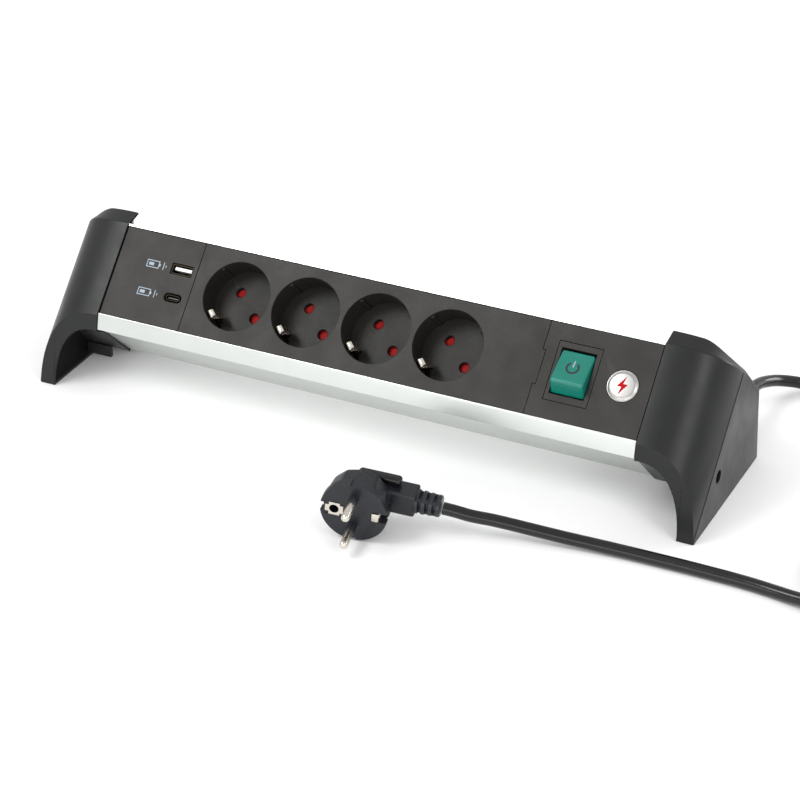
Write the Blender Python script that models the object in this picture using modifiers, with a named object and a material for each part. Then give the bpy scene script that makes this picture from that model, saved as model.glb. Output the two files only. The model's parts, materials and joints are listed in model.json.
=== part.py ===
"""Desk power strip: an aluminium channel between two hollow end caps that stand on the desk.

Its tilted face carries a USB charger, four Schuko sockets and a rocker switch. The frame has X
along the bar, Y to the rear and Z up, and its origin is on the desk under the middle of the strip.
"""

import math

import bmesh
import bpy
from mathutils import Matrix, Vector

MM = 0.001

# Driving dimensions, in metres.
TILT = math.radians(46.4)  # of the face, from the horizontal
FACE_Y = -45.7 * MM  # front edge of the face
FACE_Z = 51.2 * MM
HALF_BAR = 170.3 * MM  # from the middle to an end cap
HALF_LENGTH = 209.5 * MM
CAP_TOP = 0.9 * MM  # how far a cap stands above the face
CAP_WALL = 2.4 * MM
FOOT_FRONT = -54.3 * MM
FOOT_REAR = 54.3 * MM
HEEL_Y = 50.8 * MM
HEEL_Z = 52.5 * MM
LEAN = math.radians(5)  # of a cap's rear wall at its outer side

SOCKET_PITCH = 45.17 * MM
FIRST_SOCKET = -87.7 * MM
SOCKET_W = 29.0 * MM
SOCKETS = 4
WELL_RADIUS = 21.0 * MM
WELL_DEPTH = 17.5 * MM
PIN_OFFSET = 9.5 * MM / math.sqrt(2)  # a pin's place along X and along the face

ROCKER_X = 124.0 * MM
ROCKER_W = 29.1 * MM
ROCKER_N = -3.3 * MM
ROCKER_TILT = math.radians(20)
LEVER_N = -15.6 * MM
LEVER_TILT = math.radians(8)
POLES = (-5.0 * MM, 5.0 * MM)  # the two poles of the switch, either side of its middle

PLUG_PLACE = (41.1 * MM, -132.0 * MM, 19.3 * MM)
PLUG_TURN = (math.radians(6), math.radians(5.5), math.radians(11))
PLUG_RADIUS = 19.0 * MM

CORD_RADIUS = 3.6 * MM
GLAND = (190.0 * MM, 54.3 * MM, 18.0 * MM)
BOOT_LENGTH = 32.0 * MM
COIL_CENTRE = (326.0 * MM, -42.0 * MM)
COIL_RADIUS = 37.8 * MM

# The cord's free runs, in millimetres: from the boot to the coil, and from the coil to the plug.
REAR_ROUTE = [
    (190, 89.5, 18),
    (190, 99, 17.2),
    (192.5, 112, 14.2),
    (200, 125, 10),
    (213, 133.5, 6),
    (228, 134, 3.9),
    (243, 127, 3.7),
    (256, 113, 3.7),
    (265, 93, 3.7),
    (269.5, 71, 3.7),
    (273.5, 49, 3.7),
    (279.5, 31, 3.7),
    (288.5, 18.5, 3.9),
    (300, 11.7, 4.3),
    (312.2, 8.95, 4.6),
]
FRONT_ROUTE = [
    (299.2, -87.9, 8.0),
    (289, -87.3, 6.2),
    (277, -85.1, 4.6),
    (264, -82.7, 3.8),
    (250, -81.3, 3.7),
    (229, -80.8, 3.7),
    (200, -81.1, 3.8),
    (172, -82.4, 4.3),
    (145, -85.9, 6.0),
    (124, -90, 8.6),
    (108, -94.2, 11.2),
    (95.5, -98.9, 13.6),
    (88, -100.6, 15.1),
    (81.1, -102.2, 16.2),
]


def mm(*values):
    """A vector from millimetres."""
    return Vector([value * MM for value in values])


def clear_scene():
    for thing in list(bpy.data.objects):
        bpy.data.objects.remove(thing, do_unlink=True)


def new_collection(name):
    collection = bpy.data.collections.new(name)
    bpy.context.scene.collection.children.link(collection)
    return collection


clear_scene()
PARTS = new_collection("desk_power_strip")
CUTTERS = new_collection("cutters")


def empty(name, place, turn=(0, 0, 0)):
    """A frame that parts are parented to."""
    frame = bpy.data.objects.new(name, None)
    frame.location = place
    frame.rotation_euler = turn
    PARTS.objects.link(frame)
    return frame


# The face frame has X along the bar, Y up the face (w) and Z out of it (n).
FACE = empty("face_frame", (0, FACE_Y, FACE_Z), (TILT, 0, 0))
BACK_FRAME = empty("back_frame", (0, 0, 0), (LEAN, 0, 0))
PLUG = empty("plug_frame", PLUG_PLACE, PLUG_TURN)


def finish(name, colour, roughness, metallic=0.0):
    material = bpy.data.materials.new(name)
    material.use_nodes = True
    shader = material.node_tree.nodes["Principled BSDF"]
    shader.inputs["Base Color"].default_value = (*colour, 1)
    shader.inputs["Roughness"].default_value = roughness
    shader.inputs["Metallic"].default_value = metallic
    return material


ALUMINIUM = finish("satin_aluminium", (0.72, 0.75, 0.74), 0.35, 1.0)
CAP_BLACK = finish("cap_plastic", (0.035, 0.036, 0.037), 0.45)
FACE_BLACK = finish("face_plastic", (0.04, 0.038, 0.035), 0.55)
INNER_GREY = finish("inner_plastic", (0.12, 0.12, 0.12), 0.6)
GREEN = finish("rocker_green", (0.02, 0.3, 0.22), 0.3)
RED = finish("shutter_red", (0.45, 0.02, 0.02), 0.4)
BRASS = finish("contact_brass", (0.75, 0.6, 0.3), 0.3, 1.0)
NICKEL = finish("nickel", (0.72, 0.7, 0.66), 0.25, 1.0)
STEEL = finish("zinc_steel", (0.6, 0.6, 0.6), 0.35, 1.0)
CORD_BLACK = finish("cord_pvc", (0.012, 0.012, 0.014), 0.4)
PLUG_BLACK = finish("plug_pvc", (0.02, 0.021, 0.024), 0.5)
BOARD_GREEN = finish("circuit_board", (0.03, 0.2, 0.08), 0.5)
WHITE = finish("port_white", (0.8, 0.8, 0.78), 0.4)
BROWN = finish("wire_brown", (0.2, 0.08, 0.03), 0.45)
BLUE = finish("wire_blue", (0.05, 0.12, 0.5), 0.45)
YELLOW = finish("wire_yellow", (0.6, 0.6, 0.05), 0.45)


# Meshes.


def from_bmesh(bm):
    mesh = bpy.data.meshes.new("shape")
    bm.to_mesh(mesh)
    bm.free()
    return mesh


def block(low, high):
    """A box between two opposite corners, in millimetres."""
    low, high = mm(*low), mm(*high)
    bm = bmesh.new()
    bmesh.ops.create_cube(bm, size=1)
    size = high - low
    bmesh.ops.scale(bm, vec=size, verts=bm.verts)
    bmesh.ops.translate(bm, vec=(low + high) / 2, verts=bm.verts)
    return from_bmesh(bm)


TURNS = {
    "X": Matrix.Rotation(math.radians(90), 4, "Y"),
    "Y": Matrix.Rotation(math.radians(-90), 4, "X"),
    "Z": Matrix.Identity(4),
}


def rod(start, length, radius, axis="Z", end_radius=None, segments=32):
    """A cylinder or cone from its start along an axis, in millimetres."""
    bm = bmesh.new()
    radius_2 = radius if end_radius is None else end_radius
    bmesh.ops.create_cone(
        bm,
        cap_ends=True,
        segments=segments,
        radius1=radius * MM,
        radius2=radius_2 * MM,
        depth=length * MM,
    )
    bmesh.ops.translate(bm, vec=(0, 0, length * MM / 2), verts=bm.verts)
    bmesh.ops.transform(bm, matrix=TURNS[axis], verts=bm.verts)
    bmesh.ops.translate(bm, vec=mm(*start), verts=bm.verts)
    bm.normal_update()
    return from_bmesh(bm)


# An outline's own x, y and thickness, as columns of the matrix that lays it across an axis.
PLANES = {
    "X": Matrix(((0, 0, 1, 0), (1, 0, 0, 0), (0, 1, 0, 0), (0, 0, 0, 1))),
    "Y": Matrix(((1, 0, 0, 0), (0, 0, 1, 0), (0, 1, 0, 0), (0, 0, 0, 1))),
    "Z": Matrix.Identity(4),
}


def outline_curve(points):
    """A closed flat curve through points in millimetres."""
    curve = bpy.data.curves.new("outline", "CURVE")
    curve.dimensions = "2D"
    curve.fill_mode = "BOTH"
    spline = curve.splines.new("POLY")
    spline.points.add(len(points) - 1)
    for target, (x, y) in zip(spline.points, points):
        target.co = (x * MM, y * MM, 0, 1)
    spline.use_cyclic_u = True
    return curve


def prism(points, start, end, axis):
    """A flat outline, extruded across an axis from start to end, all in millimetres."""
    curve = outline_curve(points)
    curve.extrude = abs(end - start) * MM / 2
    guide = bpy.data.objects.new("guide", curve)
    bpy.context.scene.collection.objects.link(guide)
    view = bpy.context.evaluated_depsgraph_get()
    view.update()
    mesh = bpy.data.meshes.new_from_object(guide.evaluated_get(view))
    bpy.data.objects.remove(guide)
    bm = bmesh.new()
    bm.from_mesh(mesh)
    bmesh.ops.remove_doubles(bm, verts=bm.verts, dist=0.00001)
    bmesh.ops.dissolve_limit(
        bm, angle_limit=math.radians(0.5), verts=bm.verts, edges=bm.edges
    )
    bmesh.ops.translate(bm, vec=(0, 0, (start + end) * MM / 2), verts=bm.verts)
    bmesh.ops.transform(bm, matrix=PLANES[axis], verts=bm.verts)
    bmesh.ops.recalc_face_normals(bm, faces=bm.faces)
    return from_bmesh(bm)


def joined(meshes):
    """Several closed meshes that don't touch, as one cutter."""
    bm = bmesh.new()
    for mesh in meshes:
        bm.from_mesh(mesh)
    return from_bmesh(bm)


def moved(mesh, place=(0, 0, 0), turn=0.0):
    """A copy of a mesh, turned about Z and then moved, in millimetres."""
    copy = mesh.copy()
    copy.transform(Matrix.Translation(mm(*place)) @ Matrix.Rotation(turn, 4, "Z"))
    return copy


def strip(points, width):
    """An open band along points in the XZ plane, for a part bent from sheet."""
    bm = bmesh.new()
    rows = [
        [bm.verts.new(mm(x, side * width / 2, z)) for side in (-1, 1)]
        for x, z in points
    ]
    for first, second in zip(rows, rows[1:]):
        bm.faces.new((first[0], first[1], second[1], second[0]))
    return from_bmesh(bm)


# Objects.


def solid(name, mesh, material, parent=FACE, place=(0, 0, 0), turn=(0, 0, 0)):
    """A named sub-part, placed in millimetres in its parent's frame."""
    part = bpy.data.objects.new(name, mesh)
    part.parent = parent
    part.location = mm(*place)
    part.rotation_euler = turn
    mesh.materials.clear()
    mesh.materials.append(material)
    PARTS.objects.link(part)
    return part


def cutter(mesh, parent=FACE, place=(0, 0, 0), turn=(0, 0, 0)):
    tool = bpy.data.objects.new("cutter", mesh)
    tool.parent = parent
    tool.location = mm(*place)
    tool.rotation_euler = turn
    tool.display_type = "WIRE"
    tool.hide_render = True
    CUTTERS.objects.link(tool)
    return tool


def combine(part, operation, *tools):
    """Boolean steps on a part, one for each tool."""
    for tool in tools:
        step = part.modifiers.new(operation.lower(), "BOOLEAN")
        step.operation = operation
        step.solver = "EXACT"
        step.object = tool
    return part


def cut(part, *meshes, parent=FACE):
    return combine(part, "DIFFERENCE", *[cutter(mesh, parent) for mesh in meshes])


def fuse(part, *meshes, parent=FACE):
    return combine(part, "UNION", *[cutter(mesh, parent) for mesh in meshes])


def smooth_round(part, angle=35):
    part.data.shade_smooth()
    part.data.set_sharp_from_angle(angle=math.radians(angle))
    return part


def soften(part, width, segments=2):
    """Round the part's sharp edges by a width in millimetres."""
    step = part.modifiers.new("round", "BEVEL")
    step.width = width * MM
    step.segments = segments
    step.limit_method = "ANGLE"
    step.angle_limit = math.radians(40)
    return part


def turned(name, profile, material, parent, place, turn, steps=32):
    """A part turned about its own Z, from (radius, height) pairs in millimetres, top to bottom."""
    bm = bmesh.new()
    ring = [bm.verts.new(mm(radius, 0, height)) for radius, height in profile]
    for first, second in zip(ring, ring[1:]):
        bm.edges.new((first, second))
    if profile[0][0] > 0:
        bm.edges.new((ring[-1], ring[0]))
    part = solid(name, from_bmesh(bm), material, parent, place, turn)
    screw = part.modifiers.new("turn", "SCREW")
    screw.axis = "Z"
    screw.steps = steps
    screw.render_steps = steps
    screw.use_merge_vertices = True
    screw.merge_threshold = 0.00001
    screw.use_smooth_shade = True
    return part


def spline_through(points, steps):
    """Points on a smooth curve through hand-placed points, a few in each stretch."""
    points = [Vector(point) for point in points]
    ends = [2 * points[0] - points[1], *points, 2 * points[-1] - points[-2]]
    line = []
    for a, b, c, d in zip(ends, ends[1:], ends[2:], ends[3:]):
        for step in range(steps):
            t = step / steps
            line.append(
                0.5
                * (
                    2 * b
                    + (c - a) * t
                    + (2 * a - 5 * b + 4 * c - d) * t**2
                    + (3 * b - a - 3 * c + d) * t**3
                )
            )
    return [*line, points[-1]]


def tube(name, points, radius, material, parent=None, sides=2):
    """A cord or wire along points in millimetres, as a round curve with closed ends."""
    curve = bpy.data.curves.new(name, "CURVE")
    curve.dimensions = "3D"
    curve.bevel_depth = radius * MM
    curve.bevel_resolution = sides
    curve.use_fill_caps = True
    spline = curve.splines.new("POLY")
    spline.points.add(len(points) - 1)
    for target, point in zip(spline.points, points):
        target.co = (*mm(*point), 1)
    curve.materials.append(material)
    part = bpy.data.objects.new(name, curve)
    part.parent = parent
    PARTS.objects.link(part)
    return part


def in_mm(value):
    return value / MM


def face_to_side(w, n):
    """World (y, z) of a point of the face frame, in millimetres."""
    y = in_mm(FACE_Y) + w * math.cos(TILT) - n * math.sin(TILT)
    z = in_mm(FACE_Z) + w * math.sin(TILT) + n * math.cos(TILT)
    return y, z


def superellipse(centre, size, power, steps):
    """The outer quarter of a superellipse, from its top to its side."""
    points = []
    for step in range(steps + 1):
        angle = math.pi / 2 * (1 - step / steps)
        across = abs(math.cos(angle)) ** (2 / power)
        up = abs(math.sin(angle)) ** (2 / power)
        points.append((centre[0] + size[0] * across, centre[1] + size[1] * up))
    return points


def socket_x(index):
    return in_mm(FIRST_SOCKET + index * SOCKET_PITCH)


SOCKET_CENTRES = [socket_x(index) for index in range(SOCKETS)]
W = in_mm(SOCKET_W)
PIN = in_mm(PIN_OFFSET)


# The aluminium channel.

# Its section, as (w, n): round the outside from the rear lip to the front lip, and back inside.
OUTSIDE = [(57.6, 0.3), (57.6, -51), (-6.3, -51), (-6.5, -12.5), (-7.3, -8), (-8.4, -4.8), (-0.6, 0.3)]
INSIDE = [(0.5, 0.3), (0.5, -0.4), (-6.9, -5.2), (-5.3, -12.6), (-5.1, -49.8), (56.4, -49.8), (56.4, 0.3)]
PORT = (-0.6, -38.2)  # where an end cap's screw goes


def make_profile():
    end = in_mm(HALF_BAR)
    part = solid("aluminium_profile", prism(OUTSIDE + INSIDE, -end, end, "X"), ALUMINIUM)
    fuse(
        part,
        block((-end, -5.7, PORT[1] - 0.7), (end, PORT[0] - 2, PORT[1] + 0.7)),
        rod((-end, *PORT), 2 * end, 3.3, "X", segments=16),
        block((-end, 54.4, -14.3), (end, 56.9, -13.1)),
        block((-end, -5.7, -14.3), (end, 2.6, -13.1)),
    )
    return cut(part, rod((-end - 1, *PORT), 2 * end + 2, 1.7, "X", segments=16))


# The three face modules.


def make_usb_cover():
    part = solid("usb_module_cover", block((-170, 0.8, -12), (-117.2, 56.1, 0)), FACE_BLACK)
    return cut(
        part,
        block((-168.4, 2.4, -13), (-118.8, 54.5, -2)),
        block((-134.3, 33.5, -3), (-119.7, 40.5, 1)),
        prism(slot_outline((-127.2, 19.5), 11.4, 5.2), -3, 1, "Z"),
    )


def slot_outline(centre, length, width, steps=8):
    """A slot with round ends, along X."""
    points = []
    for side in (1, -1):
        for step in range(steps + 1):
            angle = side * math.pi / 2 - side * math.pi * step / steps
            x = centre[0] + side * (length - width) / 2
            across = side * abs(math.cos(angle)) * width / 2
            points.append((x + across, centre[1] + math.sin(angle) * width / 2))
    return points


def on_diagonal(mesh, degrees):
    """Copies of a mesh at the sockets' centres, each turned about its own."""
    return [moved(mesh, (x, W, 0), math.radians(degrees)) for x in SOCKET_CENTRES]


def pin_places():
    return [(x + side * PIN, W - side * PIN) for x in SOCKET_CENTRES for side in (-1, 1)]


def clip_slots(low, high):
    """A box at both ends of every socket's earth contact, from its corners towards one end."""
    mesh = block(low, high)
    return joined([slot for angle in (45, 225) for slot in on_diagonal(mesh, angle)])


def make_socket_cover():
    part = solid("socket_block_cover", block((-116.9, 0.8, -12), (102.85, 56.1, 0)), FACE_BLACK)
    depth = in_mm(WELL_DEPTH)
    well = in_mm(WELL_RADIUS)
    cut(part, block((-115.3, 2.4, -13), (101.25, 54.5, -2.2)))
    fuse(
        part,
        block((102, 19, -2.2), (104.6, 39, 0)),
        joined([rod((x, W, -depth - 2), depth + 0.8, well + 1.35, segments=48) for x in SOCKET_CENTRES]),
    )
    cut(
        part,
        joined([rod((x, W, -depth), depth + 1, well, segments=48) for x in SOCKET_CENTRES]),
        joined([rod((x, w, -depth - 3), 4, 2.9, segments=20) for x, w in pin_places()]),
        clip_slots((19.4, -3.2, -21), (21.3, 3.2, -16.5)),
    )
    pivots = joined([rod((x, W, -depth - 4.9), 3.4, 1.5, segments=16) for x in SOCKET_CENTRES])
    fuse(part, pivots)
    return smooth_round(part)


def make_switch_cover():
    part = solid("switch_module_cover", block((103.15, 0.8, -12), (170, 56.1, 0)), FACE_BLACK)
    return cut(
        part,
        block((104.8, 2.4, -13), (168.4, 54.5, -2.2)),
        block((102, 18.7, -13), (104.9, 39.3, 1)),
        block((111, 11.3, -3), (137.4, 46.4, 1)),
        rod((*BADGE, -0.8), 2, 9.4, segments=40),
    )


BADGE = (153.7, 28.6)


def make_badge():
    profile = [(0, 1.1), (4.5, 1.0), (8.0, 0.5), (9.1, 0), (9.1, -0.5), (0, -0.5)]
    return turned("badge_disc", profile, NICKEL, FACE, (*BADGE, 0), (0, 0, 0), 40)


# The end caps.

# The side outline, as world (y, z): foot, front edge, rear edge, crown, heel and rear foot.
SIDE = [
    (in_mm(FOOT_FRONT), 0),
    face_to_side(-1.4, in_mm(CAP_TOP)),
    face_to_side(57.2, in_mm(CAP_TOP)),
    face_to_side(66.4, -4.8),
    face_to_side(67.5, -7.2),
    (in_mm(HEEL_Y), in_mm(HEEL_Z)),
    (in_mm(FOOT_REAR), 0),
]
SHOULDER = (in_mm(HALF_BAR), -36)  # centre of the shoulder's curve, as x and n
SHOULDER_DROP = 36.9
SHOULDER_POWER = 2.5
CROWN = (185, 59)  # centre of the rear slope's curve, as x and w
CROWN_DROP = 8.4
CROWN_POWER = 1.5
BACK = (in_mm(HALF_BAR), 50.5)  # centre of the rear wall's curve, as x and y
BACK_DROP = 3.8
BACK_POWER = 2
ARCH = (in_mm(HALF_BAR), -8)  # centre of the arch's curve, as x and world z
ARCH_SIZE = (29.1, 48.9)
ARCH_POWER = 2.6
TUNNEL_END = 10  # world y of the wall behind the arch
# What is cut from the rear slope beside the bar: as (x, n), and under the crown's lip as (w, n).
REAR_NOTCH = [(160, -7.6), (172, -7.6), (188, -44), (188, -60), (160, -60)]
LIP_NOTCH = [(58.5, -2.1), (68.6, -8.6), (68.6, -12), (58.5, -12)]
BODY = [(58.4, 5), (58.4, -52), (-7.6, -52), (-7.6, -12.2), (-9.4, -5), (1, 5)]


def inset(points, distance):
    """A convex outline, drawn clockwise, with each side moved inwards."""
    lines = []
    for (x, y), (u, v) in zip(points, points[1:] + points[:1]):
        length = math.hypot(u - x, v - y)
        normal = ((v - y) / length, -(u - x) / length)
        lines.append((normal, normal[0] * x + normal[1] * y + distance))
    corners = []
    for (a, d), (b, e) in zip(lines[-1:] + lines[:-1], lines):
        area = a[0] * b[1] - a[1] * b[0]
        corners.append(((d * b[1] - e * a[1]) / area, (a[0] * e - b[0] * d) / area))
    return corners


def mirrored(mesh, side):
    """The mesh itself, or its mirror image across the middle of the bar."""
    if side < 0:
        mesh.transform(Matrix.Scale(-1, 4, (1, 0, 0)))
        mesh.flip_normals()
    return mesh


def outer_limits(wall):
    """What bounds a cap beside its side outline, less a wall: its shoulder, rear slope and rear wall.

    Each is an outline that falls away towards the cap's outer side, and the axis it is drawn along.
    """
    limits = []
    for centre, drop, power, axis, frame in (
        (SHOULDER, SHOULDER_DROP, SHOULDER_POWER, "Y", FACE),
        (CROWN, CROWN_DROP, CROWN_POWER, "Z", FACE),
        (BACK, BACK_DROP, BACK_POWER, "Z", BACK_FRAME),
    ):
        reach = in_mm(HALF_LENGTH) - centre[0] - wall
        curve = superellipse(centre, (reach, drop - wall), power, 14)
        outline = [(150, curve[0][1]), *curve, (curve[-1][0], -140), (150, -140)]
        limits.append((prism(outline, -160, 160, axis), frame))
    return limits


def arch(wall):
    """The opening under the bar's end, as world (x, z), with a wall round it."""
    size = (ARCH_SIZE[0] + wall, ARCH_SIZE[1] + wall)
    curve = superellipse(ARCH, size, ARCH_POWER, 14)
    return [(150, curve[0][1]), *curve, (curve[-1][0], -12), (150, -12)]


def make_cap(name, side):
    """One hollow end cap, open under the foot: an arch in front, a closed box behind."""
    wall = in_mm(CAP_WALL)
    seam = in_mm(HALF_BAR) + 0.3
    plate = seam + wall
    part = solid(name, mirrored(prism(SIDE, seam, 225, "X"), side), CAP_BLACK, None)
    lowered = [(SIDE[0][0] - 1.3, -8), *SIDE[1:-1], (SIDE[-1][0], -8)]
    hollow = cutter(mirrored(prism(inset(lowered, wall), plate, 230, "X"), side), None)
    tunnel_wall = cutter(mirrored(prism(arch(wall), -80, TUNNEL_END + wall, "Y"), side), None)
    tunnel = cutter(mirrored(prism(arch(0), -90, TUNNEL_END, "Y"), side), None)
    for mesh, frame in outer_limits(wall):
        combine(hollow, "INTERSECT", cutter(mirrored(mesh, side), frame))
    combine(tunnel_wall, "DIFFERENCE", cutter(mirrored(prism(inset(BODY, wall), 140, 240, "X"), side)))
    combine(hollow, "DIFFERENCE", tunnel_wall)
    combine(tunnel, "DIFFERENCE", cutter(mirrored(prism(BODY, 145, 235, "X"), side)))
    for mesh, frame in outer_limits(0):
        combine(part, "INTERSECT", cutter(mirrored(mesh, side), frame))
    combine(part, "DIFFERENCE", hollow, tunnel)
    fuse(part, mirrored(rod((171.5, *PORT), 36.5, 5.4, "X", segments=24), side))
    rib = mirrored(block((182, -16.6, 4.4), (198.5, -14.2, 12)), side)
    fuse(part, rib, parent=None)
    cut(
        part,
        mirrored(prism(REAR_NOTCH, 58.7, 80, "Y"), side),
        mirrored(prism(LIP_NOTCH, 160, seam + wall + 0.2, "X"), side),
        mirrored(rod((175.4, *PORT), 50, 4, "X", segments=24), side),
        mirrored(rod((160, *PORT), 20, 1.9, "X", segments=16), side),
    )
    return smooth_round(part, 25)


CORD_ENTRY = (40, -40)  # the cord's place across the channel


def make_caps():
    make_cap("left_end_cap", -1)
    right = make_cap("right_end_cap", 1)
    pad = rod((in_mm(GLAND[0]), 46, in_mm(GLAND[2])), in_mm(GLAND[1]) - 46, 10.2, "Y", segments=32)
    fuse(right, pad, parent=None)
    cut(right, rod((160, *CORD_ENTRY), 20, 4.6, "X", segments=24))
    cut(right, rod((in_mm(GLAND[0]), 40, in_mm(GLAND[2])), 30, 6.3, "Y", segments=24), parent=None)


def make_cap_screws():
    profile = [(0, 0), (2.6, 0), (3.2, -0.8), (3.2, -2.2), (1.4, -2.2), (1.4, -16), (0, -16)]
    for name, side in (("left_cap_screw", -1), ("right_cap_screw", 1)):
        turn = (0, side * math.radians(90), 0)
        turned(name, profile, STEEL, FACE, (side * 177.9, *PORT), turn, 16)


# Inside the socket block.

BASE_X = (-114, 100)
BASE_W = (7, 51)


def make_socket_base():
    """The insulating carrier under the wells: walls, a deck with pin holes, and screw posts."""
    low, high = (BASE_X[0], BASE_W[0]), (BASE_X[1], BASE_W[1])
    inner_low, inner_high = (low[0] + 1.6, low[1] + 1.6), (high[0] - 1.6, high[1] - 1.6)
    part = solid("socket_base", block((*low, -40), (*high, -20)), INNER_GREY)
    cut(
        part,
        block((*inner_low, -41), (*inner_high, -24.8)),
        block((*inner_low, -23.2), (*inner_high, -19)),
        joined([rod((x, w, -26), 4, 3.3, segments=20) for x, w in pin_places()]),
        clip_slots((19.2, -3.2, -26), (21.6, 3.2, -22)),
    )
    posts = [block((x - 3.2, w - 3, -40), (x + 3.2, w + 3, -24)) for x, w in BASE_SCREWS]
    ends = [block((x - 4, w - 2.6, -41), (x + 4, w + 2.6, -34.5)) for x in BASE_X for w in WIRE_WAYS]
    fuse(part, joined(posts))
    return cut(part, joined([rod((x, w, -41), 12, 1.2, segments=12) for x, w in BASE_SCREWS]), joined(ends))


BASE_SCREWS = [(x, w) for x in (-109.6, 95.6) for w in (11.2, 46.8)]
WIRE_WAYS = (W - PIN, W, W + PIN)


def make_socket_lid():
    plate = block((BASE_X[0], BASE_W[0], -42), (BASE_X[1], BASE_W[1], -40.3))
    part = solid("socket_base_lid", plate, INNER_GREY)
    return cut(part, joined([rod((x, w, -43), 4, 1.6, segments=12) for x, w in BASE_SCREWS]))


def busbar_outline(forks):
    """A strip with a pair of prongs for each pin, as (x, n)."""
    points = [(-112, -38.8), (-112, -36.8)]
    for x in forks:
        for inner, outer in ((-1.95, -2.85), (2.85, 1.95)):
            left, right = sorted((x + inner, x + outer))
            points += [(left, -36.8), (left, -25.3), (right, -25.3), (right, -36.8)]
    return [*points, (98, -36.8), (98, -38.8)]


def make_busbars():
    for name, side in (("live_busbar", -1), ("neutral_busbar", 1)):
        forks = [x + side * PIN for x in SOCKET_CENTRES]
        w = W - side * PIN
        points = busbar_outline(forks)
        solid(name, prism(points, w - 1.8, w + 1.8, "Y"), BRASS)
    earth = block((SOCKET_CENTRES[0] - 4, W - 2, -38.9), (98, W + 2, -38.1))
    solid("earth_busbar", earth, BRASS)


# An earth contact, bent from strip: half of it, from its foot up to its curled tip, as (s, n).
CLIP_HALF = [(0, -39.65), (20.35, -39.65), (20.35, -17), (16, -12), (19, -6.4), (18.4, -4.6), (17.4, -4.1)]


def make_earth_contacts():
    left = [(-s, n) for s, n in CLIP_HALF[:0:-1]]
    mesh = strip(left + CLIP_HALF[1:], 5.2)
    for index, x in enumerate(SOCKET_CENTRES, 1):
        turn = (0, 0, math.radians(45))
        part = solid(f"earth_contact_{index}", mesh, NICKEL, FACE, (x, W, 0), turn)
        sheet = part.modifiers.new("sheet", "SOLIDIFY")
        sheet.thickness = 0.7 * MM
        sheet.offset = 0
        sheet.use_even_offset = True


SHUTTER_TOP = -20.1


def make_shutters():
    """Red rotors that stand under the pin holes until a plug's two pins turn them."""
    angles = [math.radians(degrees) for degrees in (170, 350)]
    windows = [(math.cos(angle) * 9.5, math.sin(angle) * 9.5) for angle in angles]
    for index, x in enumerate(SOCKET_CENTRES, 1):
        place = (x, W, SHUTTER_TOP)
        disc = rod((0, 0, -2.5), 2.5, 11.6, segments=32)
        part = solid(f"shutter_{index}", disc, RED, FACE, place)
        holes = [rod((0, 0, -3), 4, 1.9, segments=16)]
        holes += [rod((*window, -3), 4, 3, segments=16) for window in windows]
        combine(part, "DIFFERENCE", *[cutter(hole, FACE, place) for hole in holes])


# The switch.

SX = in_mm(ROCKER_X)
SW = in_mm(ROCKER_W)
SN = in_mm(ROCKER_N)
CONTACT_W = 20.6


def make_switch_frame():
    bezel = solid("switch_bezel", block((111.3, 11.6, -1.6), (137.1, 46.1, 0)), FACE_BLACK)
    cut(bezel, block((113.6, 15.6, -3), (134.4, 42.6, 1)))
    housing = solid("switch_housing", block((112.2, 14.2, -26), (135.8, 44, -1.9)), INNER_GREY)
    slots = [(SX + in_mm(x), w) for x in POLES for w in (SW, CONTACT_W)]
    cut(
        housing,
        block((113.4, 15.4, -24.4), (134.6, 42.8, 0)),
        joined([block((x - 2.4, w - 0.8, -27), (x + 2.4, w + 0.8, -23)) for x, w in slots]),
        rod((111, SW, SN), 26, 1.75, "X", segments=16),
        block((111, SW - 1.75, SN), (137, SW + 1.75, 0)),
    )


def make_rocker():
    outline = [(-10.8, 7.4), (10.8, 7.4), (12.8, -2.3), (10.5, -5.2), (-10.5, -5.2), (-12.8, -2.3)]
    place = (SX, SW, SN)
    turn = (-ROCKER_TILT, 0, 0)
    part = solid("rocker", prism(outline, -9.9, 9.9, "X"), GREEN, FACE, place, turn)
    tools = [
        ("DIFFERENCE", block((-8.3, -9, -7), (8.3, 9, 5.4))),
        ("DIFFERENCE", rod((0, 0, 6.9), 2, 8.4, segments=40)),
        ("UNION", rod((-11.5, 0, 0), 4, 1.4, "X", segments=16)),
        ("UNION", rod((7.5, 0, 0), 4, 1.4, "X", segments=16)),
    ]
    for operation, mesh in tools:
        combine(part, operation, cutter(mesh, FACE, place, turn))
    profile = [(0, -4), (2.1, -4), (2.1, -5), (1.4, -5), (1.4, -10.2), (0.8, -11.2), (0, -11.4)]
    for index, x in enumerate(POLES, 1):
        place = (SX + in_mm(x), SW, SN)
        turned(f"switch_plunger_{index}", profile, WHITE, FACE, place, turn, 16)


def make_switch_contacts():
    turn = (LEVER_TILT, 0, 0)
    for index, offset in enumerate(POLES, 1):
        x = SX + in_mm(offset)
        place = (x, SW, in_mm(LEVER_N))
        blade = block((-2, -9, -0.4), (2, 9, 0.4))
        lever = solid(f"contact_lever_{index}", blade, BRASS, FACE, place, turn)
        contact = rod((0, -8.2, -1), 0.8, 1.4, segments=12)
        combine(lever, "UNION", cutter(contact, FACE, place, turn))
        post = block((x - 2, SW - 0.4, -34), (x + 2, SW + 0.4, -16.4))
        solid(f"common_terminal_{index}", post, BRASS)
        blade = block((x - 2, CONTACT_W - 0.4, -34), (x + 2, CONTACT_W + 0.4, -19.2))
        pad = block((x - 2, CONTACT_W - 1.4, -19.4), (x + 2, CONTACT_W + 1.4, -18.6))
        fuse(solid(f"switched_terminal_{index}", blade, BRASS), pad)
    lamp = rod((SX, SW, -23.8), 14, 1.9, segments=16)
    smooth_round(solid("indicator_lamp", lamp, WHITE))


# The USB charger.

USB_A = (-127.0, 37.0)
USB_C = (-127.2, 19.5)


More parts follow.
